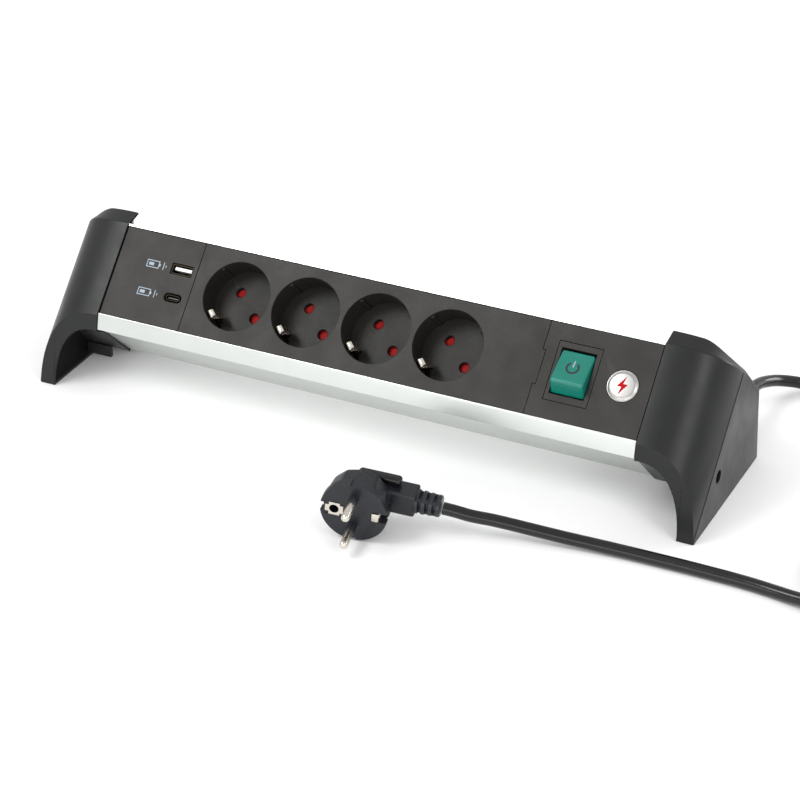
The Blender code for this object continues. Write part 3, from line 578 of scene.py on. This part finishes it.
# The arch is a superellipse too: its centre's height, its half width and height, and its power.
ARCH_Z, ARCH_SIZE, ARCH_POWER = -8.0, (29.1, 48.9), 2.6
TUNNEL_END = 10.0  # how far back the arch goes, along y
CAP_WALL = 2.4
SEAM = BAR_END + 0.3
PORT = (-0.6, -38.2)  # w and n of the screw hole in a cap's side
# The bar's section with a little air round it, as (w, n).
BODY = [(58.4, 5), (58.4, -52), (-7.6, -52), (-7.6, -12.2), (-9.4, -5), (1, 5)]


def cross(first, second, third, fourth):
    """Where the line through the first two points meets the line through the others."""
    a, b = second - first, fourth - third
    t = (third - first).cross(b) / a.cross(b)
    return first + a * t


def shoulder(x, wall):
    """How high the cap stands over the face at x, down to where its side begins."""
    t = min(max((x - BAR_END) / (CAP_END - wall - BAR_END), 0), 1)
    fall = (1 - t**SHOULDER_POWER) ** (1 / SHOULDER_POWER)
    return max(SHOULDER_N + (SHOULDER_DROP - wall) * fall, SIDE_TOP)


def cap_section(x, wall=0.0, rounding=True):
    """The outline of a cap at x, as (x, y, z) points from the front foot over the top to the rear foot."""
    tuck = 0.0
    if rounding and x > CAP_END - SIDE_ROUND:
        tuck = SIDE_ROUND - math.sqrt(max(SIDE_ROUND**2 - (x - CAP_END + SIDE_ROUND) ** 2, 0))
    if rounding and x < SEAM + SEAM_ROUND:
        tuck = SEAM_ROUND - math.sqrt(max(SEAM_ROUND**2 - (SEAM + SEAM_ROUND - x) ** 2, 0))
    inset = wall + tuck
    top = min(CAP_TOP - inset, shoulder(x, wall) - (tuck if x < SEAM + 1 else 0))
    rear_w = REAR_EDGE - 7.2 * smooth_step((x - 188) / 23) - inset
    rear_n = top - CROWN_DROP
    fold = Vector(to_side(min(FOLD_EDGE, rear_w - 0.8), top))
    crown = Vector(to_side(rear_w, rear_n))
    below = Vector(to_side(rear_w, -90))
    t = min(max((x - BAR_END) / (CAP_END - BAR_END), 0), 1)
    foot_y = 50.5 + 3.8 * math.sqrt(1 - t**2) - inset
    lean = math.radians(3.8 + 2.4 * t)
    rear_foot = Vector((foot_y, 0))
    rear_up = Vector((foot_y - 100 * math.sin(lean), 100 * math.cos(lean)))
    slant = Vector(to_side(FRONT_EDGE, CAP_TOP)) - Vector((-FOOT, 0))
    front_foot = Vector((-FOOT + inset * 1.01, 0))
    front_top = cross(front_foot, front_foot + slant, fold, Vector(to_side(0, top)))
    heel = cross(crown, below, rear_foot, rear_up)
    base = Vector((0, -8 if wall else 0))
    corners = [front_foot + base, front_top, fold, crown, heel, rear_foot + base]
    outline = rounded(corners, (0.5, 1.1, 2.2, 1.6, 1.2, 0.5))
    return [(x, point.x, point.y) for point in outline]


def stations(first, last, centre, reach, power, steps):
    """Places along x, close together where a superellipse falls steeply."""
    found = [centre + reach * math.sin(math.pi / 2 * k / steps) ** (2 / power) for k in range(steps + 1)]
    return [x for x in found if first < x < last]


ARCH_STATIONS = stations(SEAM + 0.6, CAP_END, BAR_END, ARCH_SIZE[0], ARCH_POWER, 26)


def cap_stations():
    """Where along x a cap's outside has a section, from its seam to its side."""
    seam = [SEAM, SEAM + 0.1, SEAM + 0.2, SEAM + SEAM_ROUND]
    edge = [CAP_END - SIDE_ROUND + SIDE_ROUND * math.sin(math.pi / 2 * k / 5) for k in range(6)]
    sweep = stations(SEAM + 0.6, CAP_END - 0.95, BAR_END, CAP_END - BAR_END, SHOULDER_POWER, 40)
    found = sorted({*seam, *edge, *sweep, *ARCH_STATIONS})
    return [x for x, after in zip(found, found[1:] + [999]) if after - x > 0.04]


def arch_height(x, wall):
    """The arch's height above the floor at x."""
    t = min(max((x - BAR_END) / (ARCH_SIZE[0] + wall), 0), 1)
    return ARCH_Z + (ARCH_SIZE[1] + wall) * (1 - t**ARCH_POWER) ** (1 / ARCH_POWER)


def tunnel_mesh(wall, start, end):
    """The space of the arch under the bar's end, drawn as a block with a curved roof."""
    curve = stations(SEAM, CAP_END, BAR_END, ARCH_SIZE[0] + wall, ARCH_POWER, 14) if wall else ARCH_STATIONS
    xs = [150.0, BAR_END, *curve]
    last = BAR_END + ARCH_SIZE[0] + wall
    xs = [x for x in xs if x < last - 0.02] + [last]
    roof = [(x, arch_height(x, wall)) for x in xs]
    outline = [*roof, (last, -12), (150, -12)]
    return loft([[(x, y, z) for x, z in outline] for y in (start, end)], 30)


def body_prism(start, end, wall=0.0):
    """The bar's section as a solid, to keep the arch clear of the bar's end."""
    middle = Vector((25, -24))
    points = [Vector(p) for p in BODY]
    points = [p + (middle - p).normalized() * wall * 1.3 for p in points]
    rings = [[(x, *to_side(*point)) for point in points] for x in (start, end)]
    return loft(rings, 30)


def rod(start, length, radius, axis="X", place=FACE):
    """A plain cylinder in a frame, as a tool for carving."""
    mesh = lathe([(0, 0), (radius, 0), (radius, length), (0, length)], 48)
    turn = {"X": (0, 90, 0), "Y": (-90, 0, 0)}[axis]
    placed(mesh, *start, turn)
    mesh.transform(place)
    return mesh


def rear_notch():
    """What is cut from the rear slope beside the bar."""
    outline = [(160, -7.4), (175, -7.4), (191, -44), (191, -60), (160, -60)]
    mesh = loft([[(x, w, n) for x, n in outline] for w in (58.7, 80)], 30)
    mesh.transform(FACE)
    return mesh


def lip_notch():
    """What is cut under the crown's lip."""
    outline = [(58.5, -2.1), (68.6, -8.6), (68.6, -12), (58.5, -12)]
    mesh = loft([[(x, w, n) for w, n in outline] for x in (160, SEAM + CAP_WALL + 0.2)], 30)
    mesh.transform(FACE)
    return mesh


def cap_mesh(side):
    """A hollow cap with its arch, its screw boss and its rib, and at the right also the cord's gland seat."""
    outer = loft([cap_section(x) for x in cap_stations()], 30)
    inner_xs = [SEAM + CAP_WALL, 178, 185, 191, 196, 200, 203, 205, 206.3, CAP_END - CAP_WALL]
    inner = loft([cap_section(x, CAP_WALL, False) for x in inner_xs], 30)
    tunnel_wall = tunnel_mesh(CAP_WALL, -80, TUNNEL_END + CAP_WALL)
    tunnel_wall = carved(tunnel_wall, ("DIFFERENCE", body_prism(140, 240, CAP_WALL)))
    inner = carved(inner, ("DIFFERENCE", tunnel_wall))
    tunnel = carved(tunnel_mesh(0, -90, TUNNEL_END), ("DIFFERENCE", body_prism(145, 235)))
    boss = rod((171.5, *PORT), 36.5, 5.4)
    bore = rod((175.4, *PORT), 50, 4)
    screw_hole = rod((160, *PORT), 20, 1.9)
    rib = box((182, -16.6, 4.4), (198.5, -14.2, 12), 0.3)
    steps = [("DIFFERENCE", inner), ("DIFFERENCE", tunnel), ("UNION", boss), ("UNION", rib)]
    steps += [("DIFFERENCE", tool) for tool in (bore, screw_hole, rear_notch(), lip_notch())]
    if side > 0:
        seat = rod((GLAND.x, 46, GLAND.z), GLAND.y - 46, 10.2, "Y", Matrix())
        passage = rod((GLAND.x, 40, GLAND.z), 30, 6.3, "Y", Matrix())
        steps += [("UNION", seat), ("DIFFERENCE", passage)]
    return mirrored(bevelled(carved(outer, *steps), 0.7, on_arch_edge), side)


def paint_arch_shade(cap):
    """The arch's inside is dull, and darker than the cap plastic: painted shade, where the arch's inside lies in
    shadow.
    """
    cap.data.materials.append(CAP_PAINTED_SHADE)
    for face in cap.data.polygons:
        x, y, z = face.center / MM
        under = BAR_END < abs(x) < 199.2 and y < TUNNEL_END - 0.1 and abs(z - arch_height(abs(x), 0)) < 1.5
        face.material_index = int(under and abs(face.normal.y) < 0.1)


def on_arch_edge(start, end):
    """Whether an edge is where the arch meets the front band."""
    slant = Vector(to_side(FRONT_EDGE, CAP_TOP)) - Vector((-FOOT, 0))
    for point in (start, end):
        off = (Vector((point.y, point.z)) - Vector((-FOOT, 0))).cross(slant.normalized())
        if abs(off) > 0.03 or point.x < BAR_END + 0.7 or abs(point.z - arch_height(point.x, 0)) > 0.4:
            return False
    return True


def add_caps():
    """Both caps, one the mirror image of the other."""
    for name, side in (("left_end_cap", -1), ("right_end_cap", 1)):
        cap = piece(name + "_shell", cap_mesh(side), FINISH["cap_plastic"], replaces=[name])
        # The arch's inside gets painted shade: a darker material on its faces.
        paint_arch_shade(cap)
        even_shading(cap)


add_caps()


# The socket block.

PIN_SPACING = 19.0
PIN = PIN_SPACING / 2 / math.sqrt(2)  # a pin hole's place on each axis, from its well's centre
WELL_RADIUS, WELL_DEPTH = 21.0, 17.5
COVER_LOW, COVER_TOP = 0.8, 56.1  # the covers' edges along the face


def around_wells(make):
    """One mesh of what make() returns, repeated at every socket's centre."""
    return merged(*[placed(make(), x, WELL_W) for x in WELLS])


def turned_box(low, high, degrees, edge=0.0):
    """A box turned about Z."""
    return placed(box(low, high, edge), turn=(0, 0, degrees))


def socket_cover():
    """The long cover: a plate with four deep wells, their guide ribs, pin holes and clip slots."""
    plate = box((-116.9, COVER_LOW, -12), (102.85, COVER_TOP, 0), 0.25)
    under = box((-115.3, COVER_LOW + 1.6, -13), (101.25, COVER_TOP - 1.6, -2.2))
    tongue = box((101.5, 19, -2.2), (104.6, 39, 0), 0.2)
    cups = around_wells(lambda: lathe([(0, -19.5), (22.35, -19.5), (22.35, -1.2), (0, -1.2)], 96))
    r = WELL_RADIUS
    rim = [(0, -WELL_DEPTH), (r, -WELL_DEPTH), (r, -0.5), (r + 0.15, -0.15)]
    rim += [(r + 0.5, 0), (r + 0.5, 1), (0, 1)]
    wells = around_wells(lambda: lathe(rim, 128))
    ribs = [around_wells(lambda: turned_box((20.1, -1, -18), (21.4, 1, -1.6), a, 0.35)) for a in (135, -45)]
    hole = [(0, -21), (2.9, -21), (2.9, -18), (3.4, -17.4), (3.4, -17), (0, -17)]
    holes = merged(*[placed(lathe(hole, 32), x + k * PIN, WELL_W - k * PIN) for x in WELLS for k in (-1, 1)])
    slots = [around_wells(lambda: turned_box((19.4, -3.2, -21), (21.6, 3.2, -15.5), a)) for a in (45, 225)]
    pockets = [around_wells(lambda: turned_box((20, -3.4, -18), (21.9, 3.4, -3), a)) for a in (45, 225)]
    steps = [("DIFFERENCE", under), ("UNION", tongue), ("UNION", cups), ("DIFFERENCE", wells)]
    steps += [("UNION", rib) for rib in ribs]
    steps += [("DIFFERENCE", tool) for tool in (holes, *slots, *pockets)]
    return carved(plate, *steps)


def swept_strip(path, widths, thickness):
    """A bent metal strip along a path of (s, n) points, with rounded edges."""
    rings = []
    for index, (s, n) in enumerate(path):
        before = path[max(index - 1, 0)]
        after = path[min(index + 1, len(path) - 1)]
        along = (Vector(after) - Vector(before)).normalized()
        across = Vector((-along.y, along.x)) * thickness / 2
        half, soft = widths[index] / 2, 0.75
        under = ((-1, -soft), (-soft, -1), (soft, -1), (1, -soft))
        ring = []
        for u, v in (*under, *((-a, -b) for a, b in under)):
            side = half - (1 - abs(u)) * thickness
            ring.append((s + across.x * v, math.copysign(side, u), n + across.y * v))
        rings.append(ring)
    return loft(rings, 50)


def earth_contact():
    """A U of strip: the near arm bows far into the well and curls back, and the far arm stays low."""
    arm = [(0, -39.4), (19.4, -39.4), (20.1, -39.1), (20.35, -38.4), (20.35, -19)]
    far = arm + [(20.2, -16.6), (18.8, -14), (18.4, -12.6), (18.6, -11.6), (19.8, -10.4), (20.4, -9.6)]
    near = arm + [(19.6, -16.6), (16.2, -13), (14.7, -10.6), (14.9, -9.2), (17.4, -5.4), (19.2, -3.2)]
    near += [(19.6, -2.2), (19.1, -1.6), (17.9, -1.5), (16.4, -2.0)]
    path = [(-s, n) for s, n in near[:0:-1]] + far
    near_widths = [4.0, 4.6, 5.2, 5.6] + [5.8] * (len(near) - 5)
    far_widths = [5.2] * (len(far) - 5) + [4.2, 3.4, 2.8, 2.4, 2.0]
    return swept_strip(path, near_widths + far_widths, 0.7)


def add_sockets():
    """The socket block's cover, and an earth clip in each well."""
    plastic, nickel = FINISH["face_plastic"], FINISH["nickel"]
    stands_for = ["socket_block_cover"]
    cover = piece("socket_cover", socket_cover(), plastic, "housing", stands_for, FACE)
    even_shading(cover)
    for index, x in enumerate(WELLS, 1):
        contact = placed(earth_contact(), x, WELL_W, 0, (0, 0, 45))
        stands_for = [f"earth_contact_{index}"]
        piece(f"earth_clip_{index}", contact, nickel, "housing", stands_for, FACE)


# The switch, the badge and the ports.

ROCKER = FACE @ Matrix.Translation(mm(124, 29.1, -3.3)) @ Matrix.Rotation(math.radians(-20), 4, "X")
BADGE = (153.7, 28.6)
USB_A, USB_C = (-127.0, 37.0), (-127.2, 19.5)


def rocker_mesh():
    """A pillow-edged rocker with a shallow round dish and a trunnion at each side."""
    corners = [(-10.8, 7.4), (10.8, 7.4), (12.8, -2.3), (10.5, -5.2), (-10.5, -5.2), (-12.8, -2.3)]
    rings = []
    for step in range(-9, 10):
        share = abs(step) / 9
        x = math.copysign(9.9 - 1.5 * (1 - math.sin(math.pi / 2 * share)), step) if step else 0
        tuck = 1.5 * (1 - math.sqrt(max(1 - ((abs(x) - 8.4) / 1.5) ** 2, 0))) if abs(x) > 8.4 else 0
        shape = [Vector((w * (1 - tuck / 14), n - tuck if n > 0 else n)) for w, n in corners]
        outline = rounded(shape, (2.2, 2.2, 1.2, 0.5, 0.5, 1.2), 5)
        rings.append([(x, point.x, point.y) for point in outline])
    dish_radius = 64.0
    dish = [(0, 6.8)] + [(r, 6.8 + r * r / (2 * dish_radius)) for r in (2, 4, 6, 7.5, 8.4)]
    dish += [(8.7, 7.5), (8.7, 9), (0, 9)]
    cavity = box((-8.3, -9, -7), (8.3, 9, 5.4), 0.5)
    left = [(0, -11.5), (1.2, -11.5), (1.4, -11.3), (1.4, -8), (0, -8)]
    right = [(r, -height) for r, height in left[::-1]]
    trunnions = [("UNION", placed(lathe(profile, 24), turn=(0, 90, 0))) for profile in (left, right)]
    steps = [("DIFFERENCE", cavity), ("DIFFERENCE", lathe(dish, 72)), *trunnions]
    return carved(loft(rings, 35), *steps, smooth=32)


def arc_band(inner, outer, start, end, low, high):
    """A flat arc of a ring, from one angle in degrees to another."""
    section = ((inner, low), (outer, low), (outer, high), (inner, high))
    rings = []
    steps = 36
    for step in range(steps + 1):
        angle = math.radians(start + (end - start) * step / steps)
        c, s = math.cos(angle), math.sin(angle)
        rings.append([(r * c, r * s, z) for r, z in section])
    return loft(rings, 30)


def add_switch():
    """The green rocker and the power sign on it, which ride on the rocker's body."""
    green = FINISH["rocker_green"]
    cap = piece("rocker_cap", rocker_mesh(), green, "rocker", ["rocker"], ROCKER)
    even_shading(cap)
    ring = arc_band(2.9, 4.0, 125, 415, 6.75, 6.98)
    stem = box((-0.4, 0.5, 6.6), (0.4, 4.9, 7.0), 0.1)
    piece("power_arc", ring, MARK_DARK, "rocker", (), ROCKER)
    piece("power_stem", stem, PRINT, "rocker", (), ROCKER)


def add_badge():
    """A pearly disc with a raised middle in a thin rim, and a red bolt on it."""
    dome = [(0, -0.5), (9.1, -0.5), (9.1, -0.1), (8.95, 0.12), (8.6, 0.2), (8.4, 0.12), (8.2, 0.2)]
    dome += [(7.7, 0.62), (7.1, 0.88), (6.4, 1.0), (0, 1.0)]
    place = FACE @ Matrix.Translation(mm(*BADGE, 0))
    piece("badge_dome", lathe(dome, 96, 25), PEARL, "housing", ["badge_disc"], place)
    bolt = [(1.3, 5.6), (-3.0, -0.8), (-0.3, -0.8), (-1.3, -5.6), (3.0, 1.0), (0.3, 1.0)]
    piece("badge_bolt", prism(bolt, 0.9, 1.06), MARK_RED, "housing", (), place)


def usb_cover():
    """The charger's cover, with an opening for each port and a bevel round it."""
    plate = box((-170, COVER_LOW, -12), (-117.2, COVER_TOP, 0), 0.25)
    under = box((-168.4, COVER_LOW + 1.6, -13), (-118.8, COVER_TOP - 1.6, -2))
    wide = placed(box((-7.3, -3.5, -3), (7.3, 3.5, 1), 0.5, 3), *USB_A)
    half_height, half_middle = 2.6, 3.1
    ends = [(1, math.radians(a)) for a in range(-90, 91, 10)]
    ends += [(-1, math.radians(a)) for a in range(90, 271, 10)]
    slot = [(math.cos(a) * half_height + s * half_middle, math.sin(a) * half_height) for s, a in ends]
    slim = placed(prism(slot, -3, 1), *USB_C)
    flare_u, flare_v = 1 + 0.35 / (half_middle + half_height), 1 + 0.35 / half_height
    edge = [(u * flare_u, v * flare_v, 0.05) for u, v in slot]
    soft = placed(loft([[(u, v, -0.3) for u, v in slot], edge]), *USB_C)
    steps = [("DIFFERENCE", under), ("DIFFERENCE", wide), ("DIFFERENCE", slim), ("DIFFERENCE", soft)]
    return carved(plate, *steps)


def pictograms():
    """Printed marks beside the ports: for each, a battery with its charge, and two short bars."""
    battery = [((-4.2, -2.3), (4.2, -1.8)), ((-4.2, 1.8), (4.2, 2.3))]
    battery += [((-4.2, -1.8), (-3.7, 1.8)), ((3.7, -1.8), (4.2, 1.8)), ((4.2, -0.8), (5.0, 0.8))]
    battery += [((-2.7, -0.9), (0.6, 0.9))]
    battery_x, bars_x, ink = -146.5, -139.6, 0.02
    marks = []
    for w in (USB_A[1], USB_C[1]):
        for (u0, v0), (u1, v1) in battery:
            marks.append(box((u0 + battery_x, v0 + w, -ink), (u1 + battery_x, v1 + w, ink)))
        for shift in (0, 1.6):
            x, half = shift + bars_x, 2.3 - shift
            marks.append(box((x, w - half, -ink), (x + 0.5, w + half, ink)))
    return merged(*marks)


def add_ports():
    """The charger's cover and its print. The ports themselves are the CAD's."""
    plastic, stands_for = FINISH["face_plastic"], ["usb_module_cover"]
    cover = piece("charger_cover", usb_cover(), plastic, "housing", stands_for, FACE)
    even_shading(cover)
    piece("charger_print", pictograms(), PRINT, "housing", (), FACE)


# The plug and the cord's sleeves.

PIN_REACH = 18.9  # from the plug's face to a pin's tip


def faceted(radius, y, facets):
    """A ring of points at y: a circle, pulled by a share towards a polygon of twelve sides."""
    ring = []
    steps = 96
    for step in range(steps):
        angle = 2 * math.pi * step / steps
        wedge = angle % (math.pi / 6) - math.pi / 12
        flat = math.cos(math.pi / 12) / math.cos(wedge)
        r = radius * (1 - facets + facets * flat)
        ring.append((r * math.cos(angle), y, -r * math.sin(angle)))
    return ring


def boot(start, radii, length, gaps, core):
    """A sleeve of rings along +X, with slots between them and four ribs across the slots."""
    profile = [(0, 0), (radii[0] - 0.4, 0), (radii[0], 0.4)]
    pitch = length / (gaps + 0.6)
    for k in range(gaps):
        low = (k + 0.55) * pitch
        high = low + 0.42 * pitch
        r = radii[0] + (radii[1] - radii[0]) * (k + 0.5) / gaps
        profile += [(r, low - 0.3), (r - 0.3, low), (core, low + 0.1)]
        profile += [(core, high - 0.1), (r - 0.3, high), (r, high + 0.3)]
    profile += [(radii[1], length - 0.6), (radii[1] - 0.6, length), (0, length)]
    sleeve = placed(lathe(profile, 64), turn=(0, 90, 0))
    ribs = []
    for angle in (45, 135, 225, 315):
        rib = box((0.5, -1.1, core - 1.5), (length - 0.8, 1.1, radii[1] - 0.15), 0.3)
        ribs.append(("UNION", placed(rib, turn=(angle, 0, 0))))
    return placed(carved(sleeve, *ribs), *start)


def plug_mesh():
    """The plug's body: a round face, a faceted waist, a block behind with its neck, and a slotted boot."""
    rings = [faceted(18.4, 0, 0), faceted(18.8, 0.12, 0), faceted(19, 0.5, 0), faceted(19, 4.5, 0)]
    rings += [faceted(18.85, 4.9, 0), faceted(18.5, 5.1, 0.6), faceted(18.4, 6, 0.9), faceted(17.6, 15, 0.9)]
    rings += [faceted(17.2, 16.8, 0.8), faceted(16.4, 17.7, 0.6), faceted(15, 18.1, 0.4)]
    body = loft(rings, 24)
    back = box((-10, 12, -11.5), (17, 26.3, 8.4), 3.2, 5)
    neck = box((8, 15, -7.2), (30.5, 28, 7.2), 1.5, 4)
    sleeve = boot((29.5, 21.5, 0), (6.9, 6.2), 14.7, 3, 3.9)
    steps = [("UNION", back), ("UNION", neck), ("UNION", sleeve)]
    for z in (19, -19):
        steps.append(("DIFFERENCE", box((-2.6, -1, z - 1.6), (2.6, 13, z + 1.6), 0.4)))
    steps.append(("DIFFERENCE", rod((-10.8, -1, 0), 14, 2.9, "Y", Matrix())))
    steps.append(("DIFFERENCE", box((12.4, -1, -3), (20, 11, 3), 0.3)))
    steps.append(("DIFFERENCE", box((-20, -1, -3), (-16.8, 11, 3), 0.3)))
    steps.append(("DIFFERENCE", box((-16.1, -0.6, -4.5), (-5.4, 0.25, 4.5))))
    return carved(body, *steps, smooth=28)


def pin_mesh():
    """A plug's pin from its rounded tip to its base."""
    tip = [(0, 0), (0.9, 0.08), (1.6, 0.4), (2.15, 1.1), (2.4, 2.1)]
    return lathe([*tip, (2.4, 13), (2.4, 18.7), (0, 18.7)], 40)


def earth_plate():
    """The left earth plate: a cross with a round hole."""
    shape = [(-15.9, -2.2), (-13.8, -2.2), (-13.8, -4.1), (-7.6, -4.1), (-7.6, -2.6), (-5.7, -2.6)]
    outline = [Vector(p) for p in shape + [(x, -z) for x, z in shape[::-1]]]
    outline = [(p.x, p.y) for p in rounded(outline, [0.35] * 12, 3)]
    plate = placed(prism(outline, -0.2, 0.3), turn=(90, 0, 0))
    return carved(plate, ("DIFFERENCE", rod((-10.8, -2, 0), 4, 2.7, "Y", Matrix())))


def earth_spring():
    """The right earth spring: a tab on the plug's face that dives into its slot."""
    path = [(10.6, -0.5), (13.4, -0.5), (14.1, -0.2), (14.4, 0.6), (14.5, 8)]
    mesh = swept_strip(path, [4.8, 5.2, 5, 4.8, 4.8], 0.6)
    mesh.transform(Matrix(((1, 0, 0, 0), (0, 0, 1, 0), (0, 1, 0, 0), (0, 0, 0, 1))))
    mesh.flip_normals()
    return mesh


def add_plug():
    """The plug with its handle, its sleeved pins and its two earth contacts."""
    plastic, nickel = FINISH["plug_pvc"], FINISH["nickel"]
    shell = piece("plug_shell", plug_mesh(), plastic, "housing", ["plug_body"], PLUG)
    even_shading(shell)
    grip = box((-4.0, 19.5, 7.9), (20.8, 25.8, 12.7), 2.2, 6)
    piece("plug_handle", grip, FINISH["cord_pvc"], "housing", ["plug_grip"], PLUG)
    for index, z in ((1, PIN_SPACING / 2), (2, -PIN_SPACING / 2)):
        pin = placed(pin_mesh(), 0, -PIN_REACH, z, (-90, 0, 0))
        piece(f"pin_{index}", pin, nickel, "housing", [f"plug_pin_{index}"], PLUG)
        skin = [(2.42, -6.5), (2.55, -6.3), (2.55, 0.2), (2.42, 0.2)]
        sleeve = placed(lathe(skin, 40), 0, 0, z, (-90, 0, 0))
        piece(f"pin_sleeve_{index}", sleeve, plastic, "housing", (), PLUG)
    piece("earth_plate", earth_plate(), nickel, "housing", ["plug_earth_plate"], PLUG)
    piece("earth_spring", earth_spring(), nickel, "housing", ["plug_earth_clip"], PLUG)


def add_strain_relief():
    """The sleeve behind the right cap: rings that get smaller away from the gland."""
    profile = [(3.72, 0), (6.4, 0), (6.8, 0.4), (6.8, 2.4)]
    for k in range(8):
        y = 3.4 + 3.3 * k
        r = 6.7 - 0.24 * k
        profile += [(r - 1.3, y - 0.6), (r - 1.3, y + 0.6), (r, y + 0.9), (r - 0.1, y + 2.4)]
    profile += [(4.7, 30.4), (4.7, 31.6), (4.4, 32), (3.72, 32)]
    sleeve = placed(lathe(profile, 64), GLAND.x, 57.2, GLAND.z, (-90, 0, 0))
    piece("cord_sleeve", sleeve, FINISH["cord_pvc"], "housing", ["strain_relief"])


add_sockets()
add_switch()
add_badge()
add_ports()
add_plug()
add_strain_relief()


# CAD nodes that keep their shape.


def dress_nodes():
    """Every CAD node gets its slot's material, and those that show get rounded edges."""
    for part in frame["record"]["subparts"]:
        node = frame["nodes"][part["node"]]
        node.data.materials.clear()
        node.data.materials.append(FINISH[part["material_slot"]])
    for name in ("aluminium_profile", "switch_module_cover", "switch_bezel"):
        softened(name, 0.25)
    for name in ("coil_tie", "cord_gland", "shutter_1", "shutter_2", "shutter_3", "shutter_4"):
        softened(name, 0.2)
    # The ports' shells get painted shade: a near-black metal.
    for name in ("usb_a_shell", "usb_c_shell"):
        frame["nodes"][name].data.materials[0] = PORT_SHADE_METAL


dress_nodes()
